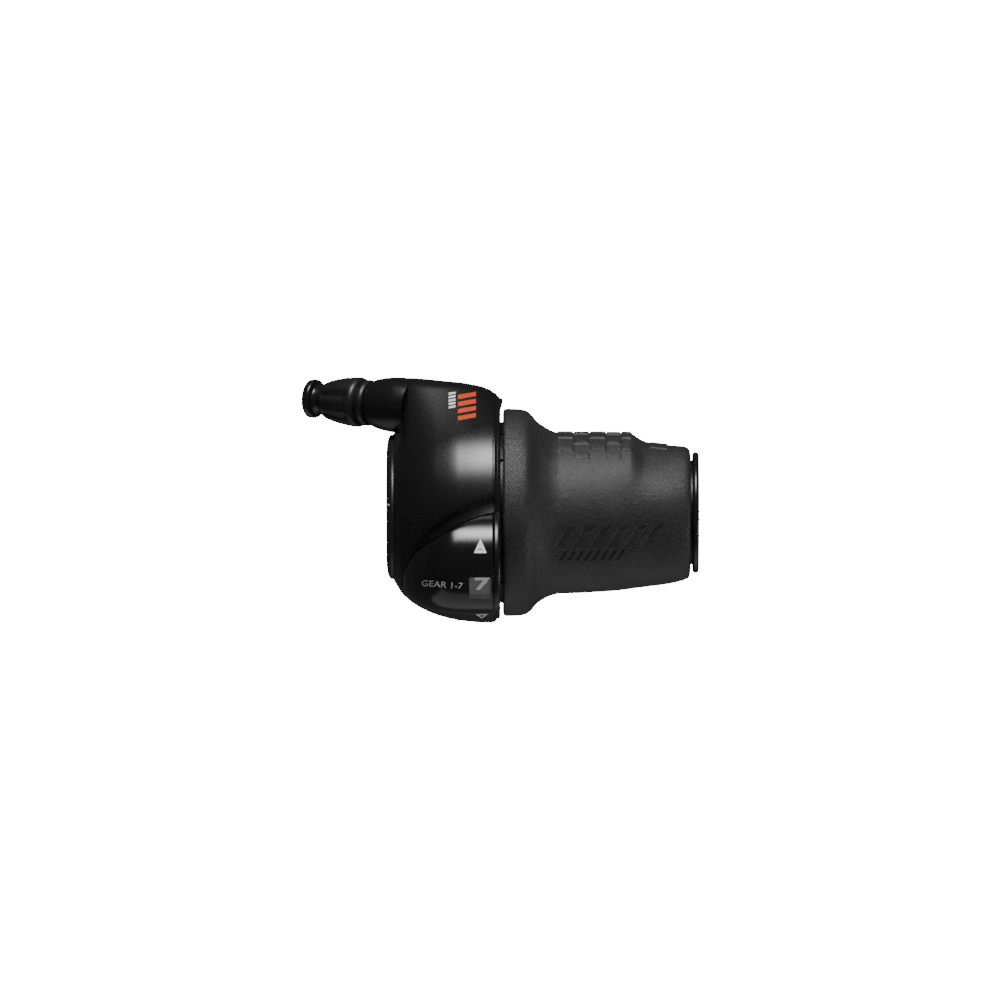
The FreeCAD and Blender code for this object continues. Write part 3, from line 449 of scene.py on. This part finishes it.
def make_inboard_cover():
    """Domed disc that closes the inboard side, with a hole for each screw head."""
    turn = np.arange(AROUND) * TURN / AROUND
    outline = hull_radius(turn, SHELL_START)
    dome = [(1.8, 0.08), (1.5, 0.04), (1.25, 0.1), (1.0, 0.28), (0.72, 0.62), (0.46, 1.2),
            (0.24, 2.1), (0.1, 3.1), (0.02, 4.2)]
    rings = []
    for along, less in dome:
        radius = np.maximum(outline - less, COVER_BORE + 0.1)
        rings.append(np.stack([np.full(AROUND, along), radius * np.cos(turn),
                               radius * np.sin(turn)], 1))
    rings += [ring_about_bar(0.0, COVER_BORE), ring_about_bar(1.8, COVER_BORE)]
    cover = lofted("cover_dome", rings)
    for degrees in SCREW_ANGLES:
        turned = math.radians(degrees)
        place = (-1, -SCREW_CIRCLE * math.sin(turned), SCREW_CIRCLE * math.cos(turned))
        carve(cover, rod(f"screw_way_{degrees}", place, (1, 0, 0), 4, SCREW_HEAD))
    crisp(cover, 35)
    return cover


# ---------------------------------------------------------------- display


def pod_rings(inset):
    """Rings of the pod's outside, from its tip to its rounded outboard end."""
    rings = []
    tip, end = POD_TIP + inset, POD_END - POD_ROUND
    for share in np.linspace(0, 1, 56):
        along = tip + (end - tip) * share ** 2
        size = max(float(POD_RADIUS(share)) - inset * min(1, share * 8), 0.02)
        rings.append((along, share, size))
    for bend in np.linspace(0, math.pi / 2, 7)[1:]:
        rings.append((end + POD_ROUND * math.sin(bend), 1.0,
                      float(POD_RADIUS(1)) - inset - POD_ROUND * (1 - math.cos(bend))))
    return rings


def pod_ring_points(along, share, size, inset, count=224):
    """A circle of the pod, flattened softly where it would pass the seam."""
    turn = np.arange(count) * TURN / count
    across = POD_Y(share) + size * np.cos(turn)
    past = across - (SEAM_Y(along) - inset + 0.25)
    across = across - 0.5 * (past + np.sqrt(past ** 2 + SEAM_ROUND ** 2))
    return np.stack([np.full(count, along), across, POD_Z(share) + size * np.sin(turn)], 1)


def pod_piece(name, inset):
    """The pod's solid outside, shrunk by an inset."""
    return lofted(name, [pod_ring_points(*ring, inset) for ring in pod_rings(inset)],
                  closed=False)


POD_WALL = 1.5
WINDOW = (20.7, 26.3, -21.55, -16.1)  # the window seen from above: along the bar, then Y


def window_cutter(name, spare):
    """Upright prism with rounded corners."""
    left, right, low, high = WINDOW
    corners = [(left - spare, low - spare), (right + spare, low - spare),
               (right + spare, high + spare), (left - spare, high + spare)]
    outline = rounded(corners, 0.5)
    return lofted(name, [[(x, y, z) for x, y in outline] for z in (16, 40)], closed=False)


def make_display():
    """The bulged cover with its window, both hollow behind."""
    above_ring = RING_RADIUS + 0.35
    ledge = [(0, 1), (0, 17.5), (7, 21.0), (WEB_END, above_ring), (OUTSIDE, above_ring),
             (OUTSIDE, 1)]
    cover = pod_piece("display_pod", 0)
    hollow = pod_piece("pod_hollow", POD_WALL)
    for point in hollow.data.vertices:
        point.co.x = min(point.co.x, (POD_END - 1.0) * MM)
    carve(cover, hollow)
    window = cover.copy()
    window.data = cover.data.copy()
    window.name = "display_glass"
    bpy.context.scene.collection.objects.link(window)
    carve(cover, revolved("ledge_cutter", ledge, count=128))
    carve(cover, window_cutter("window_hole", 0))
    carve(window, window_cutter("window_plug", -0.03), "INTERSECT")
    crisp(cover, 35)
    crisp(window, 35)
    return cover, window


def pod_height(along, across):
    """Z of the pod's outside above a place seen from above."""
    share = math.sqrt(min(max((along - POD_TIP) / (POD_END - POD_ROUND - POD_TIP), 0), 1))
    reach = float(POD_RADIUS(share)) ** 2 - (across - float(POD_Y(share))) ** 2
    return float(POD_Z(share)) + math.sqrt(max(reach, 0))


# ---------------------------------------------------------------- prints


def flat_shape(name, outlines, cell=0.35):
    """A filled flat shape from closed outlines, cut into small faces."""
    curve = bpy.data.curves.new(name, "CURVE")
    curve.dimensions = "2D"
    curve.fill_mode = "BOTH"
    for outline in outlines:
        line = curve.splines.new("POLY")
        line.points.add(len(outline) - 1)
        for point, (x, y) in zip(line.points, outline):
            point.co = (x, y, 0, 1)
        line.use_cyclic_u = True
    return flattened(name, curve, cell)


def lettering(name, text, size, slant=0.0, weight=0.0):
    """Plain text as a flat shape, its left end at the origin."""
    curve = bpy.data.curves.new(name, "FONT")
    curve.body = text
    curve.size = size
    curve.shear = slant
    curve.offset = weight
    curve.align_y = "CENTER"
    curve.resolution_u = 6
    return flattened(name, curve, size / 10)


def flattened(name, curve, cell):
    """A curve's filled face as a mesh fine enough to bend over a surface."""
    holder = bpy.data.objects.new(name, curve)
    bpy.context.scene.collection.objects.link(holder)
    graph = bpy.context.evaluated_depsgraph_get()
    graph.update()
    mesh = bpy.data.meshes.new_from_object(holder.evaluated_get(graph))
    bpy.data.objects.remove(holder)
    build = bmesh.new()
    build.from_mesh(mesh)
    bmesh.ops.remove_doubles(build, verts=build.verts, dist=1e-5)
    xs = [v.co.x for v in build.verts]
    ys = [v.co.y for v in build.verts]
    for axis, low, high in ((0, min(xs), max(xs)), (1, min(ys), max(ys))):
        for k in range(1, int((high - low) / cell) + 1):
            place = Vector((0, 0, 0))
            place[axis] = low + k * cell
            normal = Vector((0, 0, 0))
            normal[axis] = 1
            everything = build.verts[:] + build.edges[:] + build.faces[:]
            bmesh.ops.bisect_plane(build, geom=everything, plane_co=place, plane_no=normal)
    bmesh.ops.triangulate(build, faces=build.faces)
    build.to_mesh(mesh)
    build.free()
    piece = bpy.data.objects.new(name, mesh)
    bpy.context.scene.collection.objects.link(piece)
    return piece


def wrap(piece, place, thickness=0.04):
    """Bends a flat shape with a function from its (x, y) to a point in millimetres."""
    build = bmesh.new()
    build.from_mesh(piece.data)
    flat = [(v.co.x, v.co.y) for v in build.verts]
    for vertex, (x, y) in zip(build.verts, flat):
        vertex.co = Vector(place(x, y)) * MM
    build.normal_update()
    up = sum((f.normal for f in build.faces), Vector())
    middle = sum((v.co for v in build.verts), Vector()) / len(build.verts)
    if up.dot(Vector((0, middle.y, middle.z))) < 0:
        bmesh.ops.reverse_faces(build, faces=build.faces)
        up = -up
    extruded = bmesh.ops.extrude_face_region(build, geom=build.faces[:])
    build.normal_update()
    raised = [item for item in extruded["geom"] if isinstance(item, bmesh.types.BMVert)]
    for vertex in raised:
        vertex.co += up.normalized() * thickness * MM
    bmesh.ops.recalc_face_normals(build, faces=build.faces)
    build.to_mesh(piece.data)
    build.free()
    piece.data.shade_flat()
    return piece


def on_pod(x, y):
    return x, y, pod_height(x, y) - 0.01


def on_hull(x, y):
    """The highest point of the shell at a place seen from above."""
    angle = np.linspace(math.pi / 2, 0 if y > 0 else math.pi, 721)
    side = hull_radius(angle, np.full(angle.shape, x)) * np.abs(np.cos(angle))
    k = int(np.argmax(side >= abs(y))) if side.max() >= abs(y) else int(np.argmax(side))
    part = min((abs(y) - side[k - 1]) / (side[k] - side[k - 1]), 1)
    turn = angle[k - 1] + (angle[k] - angle[k - 1]) * part
    radius = float(hull_radius(np.array(turn), np.array(x))) - 0.01
    return x, radius * math.cos(turn), radius * math.sin(turn)


def triangle(left, right, base, tip):
    return [(left, base), (right, base), ((left + right) / 2, tip)]


def minus_sign(left, right, base):
    """A bar across the foot of an arrow."""
    middle, half, thick = (left + right) / 2, (right - left) * 0.2, 0.12
    level = base + 1.0
    return [(middle - half, level - thick), (middle + half, level - thick),
            (middle + half, level + thick), (middle - half, level + thick)]


def make_prints():
    """Arrows and a plain caption on the display cover."""
    left, right, base, tip = 21.9, 25.15, -10.1, -6.5
    filled = [rounded(triangle(left, right, base, tip), 0.25), minus_sign(left, right, base)]
    up_arrow = wrap(flat_shape("arrow_minus", filled), on_pod)
    hollow = [triangle(22.3, 25.4, -25.35, -26.5), triangle(23.1, 24.6, -25.6, -26.2)]
    down_arrow = wrap(flat_shape("arrow_plus", hollow, 0.2), on_hull)

    def beside_window(x, y):
        return on_pod(8.7 + x * 1.05, -17.6 - 0.075 * x + y * 0.9)

    caption = wrap(lettering("display_caption", "GEAR 1-7", 2.4, 0.12), beside_window, 0.03)
    return up_arrow, down_arrow, caption


GEARS = 7
GEAR_PITCH = math.radians(25)
SHOWN_TURN = math.radians(48.5)  # the window's place, from straight up towards the rider
NUMBER_PLACE = 24.0


def make_numbers():
    """The gear numbers, raised a little on the number ring."""
    numbers = []
    for step in range(GEARS):
        gear = GEARS - step
        digit = lettering(f"number_{gear}", str(gear), 6.2, weight=0.13)
        reaches = [v.co.x for v in digit.data.vertices]
        centre = (min(reaches) + max(reaches)) / 2

        def on_ring(x, y, at=SHOWN_TURN + step * GEAR_PITCH, centre=centre):
            turn = at - y / RING_RADIUS
            along = NUMBER_PLACE + (x - centre) * 1.25
            radius = RING_RADIUS + 0.02
            return along, -radius * math.sin(turn), radius * math.cos(turn)

        numbers.append(wrap(digit, on_ring, 0.06))
    return numbers


def make_front_stripes():
    """Slanted stripes on the front bulge, in place of lettering."""
    def stripes(name, left, right, low, high, count, share, slant):
        bars = []
        pitch = (high - low) / count
        for k in range(count):
            base = low + k * pitch
            bars.append([(left, base), (right, base + slant),
                         (right, base + slant + pitch * share), (left, base + pitch * share)])
        return wrap(flat_shape(name, bars), on_hull, 0.04)

    red = stripes("stripes_red", 17.9, 22.4, 22.9, 30.0, 4, 0.62, 0.8)
    white = stripes("stripes_white", 15.6, 17.3, 25.9, 30.2, 5, 0.6, 0.3)
    return red, white


# ---------------------------------------------------------------- rubber grip

GRIP_START = 29.1
FLANGE = [(GRIP_START, 24.8), (29.25, 25.4), (29.6, 25.85), (30.4, 25.95), (33.0, 25.85),
          (34.7, 25.55), (36.0, 24.75), (37.6, 22.85)]
GRIP_RADIUS = smooth_curve(FLANGE + [
    (39.5, 21.6), (41.7, 20.65), (43.6, 20.3), (46.6, 20.25), (51.5, 20.0), (57.5, 19.6),
    (62.5, 18.95), (69.9, 18.0), (73.6, 17.2), (75.1, 16.65), (75.6, 16.3), (75.9, 15.7),
    (76.0, 15.0)])
GRIP_FRONT = smooth_curve(FLANGE + [
    (39.5, 21.5), (41.7, 20.3), (43.2, 19.95), (50, 19.9),
    (58, 19.85), (60.8, 19.8), (61.8, 19.45), (62.8, 18.75), (64.2, 17.95), (66.0, 17.45),
    (70, 16.9), (74.2, 16.55), (75.1, 16.3), (75.6, 15.9), (75.9, 15.2), (76.0, 14.8)])
PAD_COLUMNS = (42.7, 46.8, 50.7, 54.9, 58.6, 61.4)
TAIL_COLUMNS = (66.0, 70.4)
PAD_PITCH = 8.9
PAD_ROWS = range(-6, 7)
PAD_HEIGHT = 0.42
BLOCK_EDGE = 0.28


def pad_relief(along, turn):
    """Height of the raised blocks. turn is in degrees from straight forward, up positive."""
    relief = np.zeros(np.broadcast(along, turn).shape)
    arc = math.radians(1) * 20
    for row in PAD_ROWS:
        centre = row * PAD_PITCH + 1.0
        fade = float(1 - ease(30, 58, np.array(abs(centre))))
        half = (PAD_PITCH / 2 - 0.7) * arc
        across = (half - np.abs(turn - centre) * arc) / BLOCK_EDGE
        for column in range(len(PAD_COLUMNS) - 1):
            if (row + column) % 2:
                continue
            low, high = PAD_COLUMNS[column], PAD_COLUMNS[column + 1]
            relief += raised_block(along, across, low, high) * fade * PAD_HEIGHT
        if row % 2 == 0 and abs(row) < 4:
            relief += raised_block(along, across, *TAIL_COLUMNS) * fade * 0.3
    return relief


def raised_block(along, across, low, high):
    """1 on a block, falling at its sides to 0, with rounded corners."""
    length = np.minimum(along - low, high - along) / BLOCK_EDGE
    inside = np.minimum(np.minimum(length, across), 2.0)
    return ease(0, 1, inside)


EMBLEM_SHARE = 0.55  # how much of each bar's pitch is sunk
EMBLEM_DEPTH = 0.36


def emblem_relief(along, turn):
    """Slanted bars sunk into the rubber where the top faces the rider, in two rows."""
    down = turn - 90  # degrees from straight up towards the rider
    relief = np.zeros(np.broadcast(along, turn).shape)
    rows = ((10.2, 27.0, 43.4, 69.5, 6, 3.4), (28.0, 36.2, 43.4, 59.8, 8, 1.6))
    for first, last, left, right, count, lean in rows:
        level = (down - first) / (last - first)
        pitch = (right - left) / count
        phase = (along - left - lean * (0.5 - level)) / pitch
        part = phase - np.floor(phase)
        inside = (part < EMBLEM_SHARE) & (phase > 0) & (phase < count)
        edge = np.minimum(part, EMBLEM_SHARE - part) * pitch / 0.25
        ends = np.minimum(level, 1 - level) * math.radians(last - first) * 19 / 0.25
        depth = ease(0, 1, np.minimum(edge, ends))
        relief -= np.where(inside & (level > 0) & (level < 1), depth, 0) * EMBLEM_DEPTH
    return relief


def make_rubber_grip():
    """Grained sleeve with a block pattern in front, a step, and a slow taper."""
    stations = np.concatenate([
        np.linspace(GRIP_START, 30.6, 9), np.linspace(30.6, 42.4, 30)[1:],
        np.linspace(42.4, 72, 150)[1:], np.linspace(72, GRIP_END, 22)[1:]])
    half_front = np.linspace(-62, 62, 260)
    rest = np.linspace(62, 298, 250)[1:-1]
    turn = np.concatenate([half_front, rest])
    along, angle = np.meshgrid(stations, turn, indexing="ij")
    off = np.abs((angle + 180) % 360 - 180)
    front = 1 - ease(38, 82, off)
    radius = GRIP_RADIUS(along) * (1 - front) + GRIP_FRONT(along) * front
    radius = radius + pad_relief(along, (angle + 180) % 360 - 180)
    radius = radius + emblem_relief(along, angle)
    seam = np.abs(off - 180) * math.radians(1) * radius
    radius = radius - 0.06 * np.exp(-(seam / 0.12) ** 2)
    rad = np.radians(angle)
    rings = list(np.stack([along, radius * np.cos(rad), radius * np.sin(rad)], 2))
    inner_turn = np.radians(turn)
    for x, r in ((GRIP_END, 14.62), (75.0, 14.62), (62.0, 15.85), (45.0, 17.25),
                 (39.0, 18.65), (34.5, 22.65), (GRIP_START, 22.65)):
        rings.append(np.stack([np.full(len(turn), x), r * np.cos(inner_turn),
                               r * np.sin(inner_turn)], 1))
    grip = lofted("rubber_sleeve", rings)
    crisp(grip, 60)
    return grip


def make_collar():
    """End flange with a round rim."""
    start, end = COLLAR_LOW.x, COLLAR_HIGH.x
    half = (end - start) / 2
    shoulder = COLLAR_HIGH.y - half
    profile = [(start, SLEEVE_RADIUS), (start, shoulder)]
    for bend in np.linspace(0, math.pi, 13)[1:-1]:
        profile.append((start + half - half * math.cos(bend), shoulder + half * math.sin(bend)))
    profile += [(end, shoulder), (end, SLEEVE_RADIUS)]
    collar = revolved("end_flange", profile)
    crisp(collar, 50)
    return collar


# ---------------------------------------------------------------- barrel and ferrule


def make_barrel():
    """Tapered knob with a lock ring at its foot, six shallow flutes, and a hollow stem."""
    count = 192
    turn = np.arange(count) * TURN / count
    flute = (0.5 + 0.5 * np.cos(turn * 6)) ** 3
    foot = [(0.3, 4.7), (0.36, 5.1), (0.6, 5.5), (1.0, 5.72), (1.5, 5.78), (2.0, 5.7),
            (2.3, 5.5), (2.5, 5.15), (2.62, 4.95), (2.75, 5.15), (2.95, 5.6)]
    side = smooth_curve([(2.95, 5.6), (3.3, 5.97), (3.8, 6.22), (4.3, 6.27), (6.0, 6.17),
                         (8.0, 5.93), (10.0, 5.56), (12.0, 5.06), (12.9, 4.74), (13.5, 4.38),
                         (14.0, 3.9), (14.2, 3.5)])
    rings = [ring_about_bar(x, r, count) for x, r in foot]
    for along in np.linspace(2.95, 14.2, 60)[1:]:
        deep = ease(4.0, 6.4, np.array(along)) * (1 - ease(12.0, 13.8, np.array(along)))
        radius = float(side(along)) - 0.6 * float(deep) * flute
        rings.append(np.stack([np.full(count, along), radius * np.cos(turn),
                               radius * np.sin(turn)], 1))
    for x, r in ((14.2, 3.06), (7.9, 3.06), (7.9, 1.0), (-7.6, 1.0), (-7.6, 2.9), (0.3, 2.9)):
        rings.append(ring_about_bar(x, r, count))
    barrel = lofted("barrel_knob", [on_outlet(ring) for ring in rings])
    crisp(barrel, 50)
    return barrel


def make_ferrule():
    """Flanged end socket for the cable casing."""
    profile = [(8.0, 1.0), (8.0, 2.98), (14.25, 2.98), (14.45, 3.3), (15.7, 3.35), (16.1, 3.5),
               (16.3, 3.8), (16.3, 4.35), (16.38, 4.62), (16.58, 4.8), (16.9, 4.87),
               (17.7, 4.87), (18.02, 4.8), (18.22, 4.62), (18.3, 4.35), (18.3, 3.2),
               (18.18, 2.75), (17.9, 2.55), (11.3, 2.55), (11.3, 1.0)]
    rings = [on_outlet(ring_about_bar(x, r, 128)) for x, r in profile]
    ferrule = lofted("casing_socket", rings)
    crisp(ferrule, 40)
    return ferrule


# ---------------------------------------------------------------- materials


def material(name, color, roughness, metallic=0.0):
    """A new material and its shader."""
    made = bpy.data.materials.new(name)
    made.use_nodes = True
    shader = made.node_tree.nodes["Principled BSDF"]
    shader.inputs["Base Color"].default_value = (*color, 1)
    shader.inputs["Roughness"].default_value = roughness
    shader.inputs["Metallic"].default_value = metallic
    return made, shader


def place_of(tree, scale):
    """Object coordinates in millimetres times a scale."""
    coordinates = tree.nodes.new("ShaderNodeTexCoord")
    mapping = tree.nodes.new("ShaderNodeMapping")
    mapping.inputs["Scale"].default_value = (scale / MM,) * 3
    tree.links.new(coordinates.outputs["Object"], mapping.inputs["Vector"])
    return mapping.outputs["Vector"]


def noise(tree, scale, detail=4.0, rough=0.55):
    """Fractal noise; scale is its number of cells per millimetre."""
    texture = tree.nodes.new("ShaderNodeTexNoise")
    texture.inputs["Scale"].default_value = 1.0
    texture.inputs["Detail"].default_value = detail
    texture.inputs["Roughness"].default_value = rough
    tree.links.new(place_of(tree, scale), texture.inputs["Vector"])
    return texture.outputs["Fac"]


def cells(tree, scale):
    """Rounded cells; scale is their number per millimetre."""
    texture = tree.nodes.new("ShaderNodeTexVoronoi")
    texture.feature = "SMOOTH_F1"
    texture.inputs["Scale"].default_value = 1.0
    tree.links.new(place_of(tree, scale), texture.inputs["Vector"])
    return texture.outputs["Distance"]


def ranged(tree, value, low, high, to_low=0.0, to_high=1.0):
    """The value moved from one range to another."""
    node = tree.nodes.new("ShaderNodeMapRange")
    node.inputs["From Min"].default_value = low
    node.inputs["From Max"].default_value = high
    node.inputs["To Min"].default_value = to_low
    node.inputs["To Max"].default_value = to_high
    tree.links.new(value, node.inputs["Value"])
    return node.outputs["Result"]


def bump(tree, shader, height, strength, distance):
    node = tree.nodes.new("ShaderNodeBump")
    node.inputs["Strength"].default_value = strength
    node.inputs["Distance"].default_value = distance * MM
    tree.links.new(height, node.inputs["Height"])
    tree.links.new(node.outputs["Normal"], shader.inputs["Normal"])


def tinted(tree, shader, value, dark, light):
    """The base colour between two colours."""
    node = tree.nodes.new("ShaderNodeMix")
    node.data_type = "RGBA"
    node.inputs["A"].default_value = (*dark, 1)
    node.inputs["B"].default_value = (*light, 1)
    tree.links.new(value, node.inputs["Factor"])
    tree.links.new(node.outputs["Result"], shader.inputs["Base Color"])


def gloss_black(name, tone, roughness):
    """Moulded black plastic: a faint ripple, and fine wear in its gloss."""
    made, shader = material(name, (tone,) * 3, roughness)
    tree = made.node_tree
    ripple = noise(tree, 0.12, 2.0)
    haze = noise(tree, 1.6, 6.0, 0.6)
    tree.links.new(ranged(tree, haze, 0.3, 0.7, roughness * 0.9, roughness * 1.1),
                   shader.inputs["Roughness"])
    tinted(tree, shader, ripple, (tone * 0.8,) * 3, (tone * 1.2,) * 3)
    bump(tree, shader, ripple, 0.15, 0.05)
    return made


def satin_black(name, tone, roughness, grain):
    """Moulded black plastic with a fine spark-eroded texture."""
    made, shader = material(name, (tone,) * 3, roughness)
    tree = made.node_tree
    speck = noise(tree, 5.0, 5.0, 0.7)
    tree.links.new(ranged(tree, speck, 0.3, 0.7, roughness * 0.85, roughness * 1.15),
                   shader.inputs["Roughness"])
    tinted(tree, shader, noise(tree, 0.3), (tone * 0.8,) * 3, (tone * 1.25,) * 3)
    bump(tree, shader, speck, 0.5, grain)
    return made


def grained_rubber(name):
    """Soft charcoal rubber with a leather-like grain that is glossier on its tops."""
    made, shader = material(name, (0.01,) * 3, 0.5)
    tree = made.node_tree
    grains = cells(tree, 2.6)
    fine = noise(tree, 4.2, 6.0, 0.65)
    cloud = noise(tree, 0.10, 3.0)
    mix = tree.nodes.new("ShaderNodeMath")
    mix.operation = "MULTIPLY_ADD"
    mix.inputs[1].default_value = 0.8
    tree.links.new(grains, mix.inputs[0])
    tree.links.new(fine, mix.inputs[2])
    tree.links.new(ranged(tree, fine, 0.35, 0.7, 0.58, 0.37), shader.inputs["Roughness"])
    tinted(tree, shader, ranged(tree, cloud, 0.3, 0.7), (0.011, 0.011, 0.0115),
           (0.016, 0.016, 0.0165))
    bump(tree, shader, mix.outputs[0], 1.0, 0.11)
    shader.inputs["Sheen Weight"].default_value = 0.02
    shader.inputs["Sheen Roughness"].default_value = 0.5
    return made


def turned_metal(name, color, roughness, metallic=1.0):
    """Metal with fine turning or rolling marks across the bar."""
    made, shader = material(name, color, roughness, metallic)
    tree = made.node_tree
    streaks = noise(tree, 2.5, 3.0)
    stretch = streaks.node.inputs["Vector"].links[0].from_node
    stretch.inputs["Scale"].default_value = (6 / MM, 0.3 / MM, 0.3 / MM)
    tree.links.new(ranged(tree, streaks, 0.3, 0.7, roughness * 0.75, roughness * 1.3),
                   shader.inputs["Roughness"])
    dark = tuple(channel * 0.85 for channel in color)
    tinted(tree, shader, noise(tree, 0.6), dark, color)
    bump(tree, shader, streaks, 0.2, 0.02)
    return made


def printed(name, color, painted_glow=0.0):
    """Pad-printed ink with a slightly uneven film. A nonzero glow gives it emission, which is
    painted light.
    """
    made, shader = material(name, color, 0.5)
    shader.inputs["Specular IOR Level"].default_value = 0.15
    tree = made.node_tree
    film = noise(tree, 1.5, 4.0)
    dark = tuple(channel * 0.9 for channel in color)
    tinted(tree, shader, film, dark, color)
    bump(tree, shader, film, 0.2, 0.02)
    # Emission makes the ink shine without a lamp: painted light.
    if painted_glow:
        shader.inputs["Emission Color"].default_value = (*color, 1)
        shader.inputs["Emission Strength"].default_value = painted_glow
    return made


def smoked_clear(name):
    """Thin smoked window: mostly see-through, with a gloss and a grey cast."""
    made, shader = material(name, (0.35, 0.35, 0.36), 0.12)
    tree = made.node_tree
    shader.inputs["Alpha"].default_value = 0.16
    haze = noise(tree, 0.8, 3.0)
    tree.links.new(ranged(tree, haze, 0.3, 0.7, 0.08, 0.16), shader.inputs["Roughness"])
    return made


def dress(piece, made):
    piece.data.materials.clear()
    piece.data.materials.append(made)


def dress_node(node, made):
    """Gives a CAD node's own object a material in every slot."""
    shown = frame["nodes"][node]
    if not shown.material_slots:
        shown.data.materials.append(made)
    for place in shown.material_slots:
        place.material = made


# ---------------------------------------------------------------- the shifter

MATERIALS = {
    "housing": gloss_black("housing_plastic", 0.0055, 0.29),
    "display": gloss_black("display_plastic", 0.0055, 0.2),
    "satin": satin_black("satin_plastic", 0.008, 0.42, 0.03),
    "barrel": satin_black("barrel_plastic", 0.007, 0.40, 0.02),
    "collar": gloss_black("collar_plastic", 0.006, 0.25),
    "rubber": grained_rubber("grip_rubber"),
    "plug": satin_black("plug_rubber", 0.012, 0.6, 0.04),
    "acetal": satin_black("grey_acetal", 0.035, 0.5, 0.02),
    "natural": satin_black("natural_acetal", 0.55, 0.45, 0.02),
    "ring": satin_black("number_ring_plastic", 0.02, 0.5, 0.02),
    "steel": turned_metal("zinc_steel", (0.46, 0.46, 0.47), 0.32),
    "dark_steel": turned_metal("black_steel", (0.05, 0.05, 0.052), 0.38),
    "brass": turned_metal("turned_brass", (0.72, 0.53, 0.22), 0.28),
    "white": printed("white_ink", (0.72, 0.72, 0.72)),
    "grey": printed("grey_ink", (0.30, 0.30, 0.31)),
    "red": printed("red_ink", (0.55, 0.055, 0.02)),
    # The numbers' ink emits a little light of its own: painted light that makes them show
    # through the window.
    "number": printed("number_ink_painted_glow", (0.75, 0.75, 0.76), 0.35),
    "window": smoked_clear("window_plastic"),
}

NODE_MATERIALS = {
    "cover_screws": "dark_steel", "bar_sleeve": "satin",
    "retaining_ring": "steel", "clamp_band": "steel", "clamp_bolt": "dark_steel",
    "clamp_washer": "steel", "clamp_nut": "dark_steel", "adjuster_insert": "brass",
    "cable_guide": "natural", "cable_access_plug": "plug", "detent_ring": "acetal",
    "detent_spring": "steel", "detent_screw": "steel", "grip_tube": "satin",
    "cable_drum": "acetal", "indicator_ring": "ring",
}
for node, chosen in NODE_MATERIALS.items():
    dress_node(node, MATERIALS[chosen])


def add(piece, body, made, slot, *nodes):
    """Dresses a piece and ties it to its body and the CAD nodes it stands for; slot is not used.
    """
    dress(piece, MATERIALS[made])
    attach(piece, body)
    if nodes:
        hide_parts(*nodes)


add(make_housing(), "housing", "housing", "housing_gloss", "main_housing")
add(make_boss(), "housing", "housing", "housing_gloss")
add(make_inboard_cover(), "housing", "satin", "cover_satin", "inboard_cover")
pod, glass = make_display()
add(pod, "housing", "display", "display_gloss", "display_cover")
add(glass, "housing", "window", "window_clear", "display_window")
up_arrow, down_arrow, caption = make_prints()
add(up_arrow, "housing", "white", "display_gloss")
add(down_arrow, "housing", "grey", "housing_gloss")
add(caption, "housing", "grey", "display_gloss")
for digit in make_numbers():
    add(digit, "grip", "number", "number_ring")
red, white = make_front_stripes()
add(red, "housing", "red", "housing_gloss")
add(white, "housing", "white", "housing_gloss")
add(make_rubber_grip(), "grip", "rubber", "grip_rubber", "rubber_grip")
add(make_collar(), "housing", "collar", "collar_gloss", "end_collar")
add(make_barrel(), "adjuster", "barrel", "barrel_satin", "adjuster_barrel")
add(make_ferrule(), "casing_end", "collar", "ferrule_gloss", "casing_ferrule")


# ---------------------------------------------------------------- studio


def make_floor():
    """Pale floor well below the part. It glows evenly, so that it looks white."""
    side = 6000.0
    drop = 160
    level = cad_bounds[0][2] / MM - drop
    corners = [(-side, -side, level), (side, -side, level), (side, side, level),
               (-side, side, level)]
    floor = mesh_from("floor", corners, [(0, 1, 2, 3)], smooth=False)
    made, shader = material("pale_floor", (0.9, 0.9, 0.9), 0.9)
    tree = made.node_tree
    shader.inputs["Emission Color"].default_value = (1, 1, 1, 1)
    shader.inputs["Emission Strength"].default_value = 18.0
    tinted(tree, shader, noise(tree, 0.01), (0.88, 0.88, 0.88), (0.92, 0.92, 0.92))
    dress(floor, made)
    floor.visible_glossy = False
    floor.visible_diffuse = False


def softbox(name, place, size, power, glossy=True):
    """An area light that faces the part; glossy says whether gloss reflects it."""
    lamp = bpy.data.lights.new(name, "AREA")
    lamp.shape = "RECTANGLE"
    lamp.size, lamp.size_y = size
    lamp.energy = power
    holder = bpy.data.objects.new(name, lamp)
    bpy.context.scene.collection.objects.link(holder)
    way = Vector((0.025, 0, 0)) - Vector(place)
    holder.location = place
    holder.rotation_euler = way.to_track_quat("-Z", "Y").to_euler()
    holder.visible_camera = False
    holder.visible_glossy = glossy


def make_studio():
    """Floor, a key light with a soft edge, fill from the rider's side, and a grey world."""
    make_floor()
    keys = (((0.64, 0.70), 6.6), ((0.46, 0.46), 6.6), ((0.30, 0.28), 3.2))
    for step, (size, power) in enumerate(keys):
        softbox(f"key_softbox_{step + 1}", (0.0, 0.87, 0.5 + 0.01 * step), size, power)
    softbox("rider_softbox", (0.1, -1.1, -0.25), (2.4, 1.1), 4)
    softbox("rider_fill", (0.1, -0.9, 0.7), (0.9, 0.6), 10, glossy=False)
    softbox("right_softbox", (1.0, -0.35, 0.1), (0.3, 0.3), 2)
    world = bpy.data.worlds.new("studio")
    world.use_nodes = True
    world.node_tree.nodes["Background"].inputs["Color"].default_value = (*(0.055,) * 3, 1)
    bpy.context.scene.world = world


def make_camera():
    """Looks straight down on the part, from far away."""
    data = bpy.data.cameras.new("camera")
    view_width, distance = 0.25, 5.0
    data.sensor_width = 36
    data.lens = 36 * distance / view_width
    data.clip_end = 20
    camera = bpy.data.objects.new("camera", data)
    bpy.context.scene.collection.objects.link(camera)
    camera.location = (0.0284, 0.0031, distance)
    bpy.context.scene.camera = camera


make_studio()
make_camera()
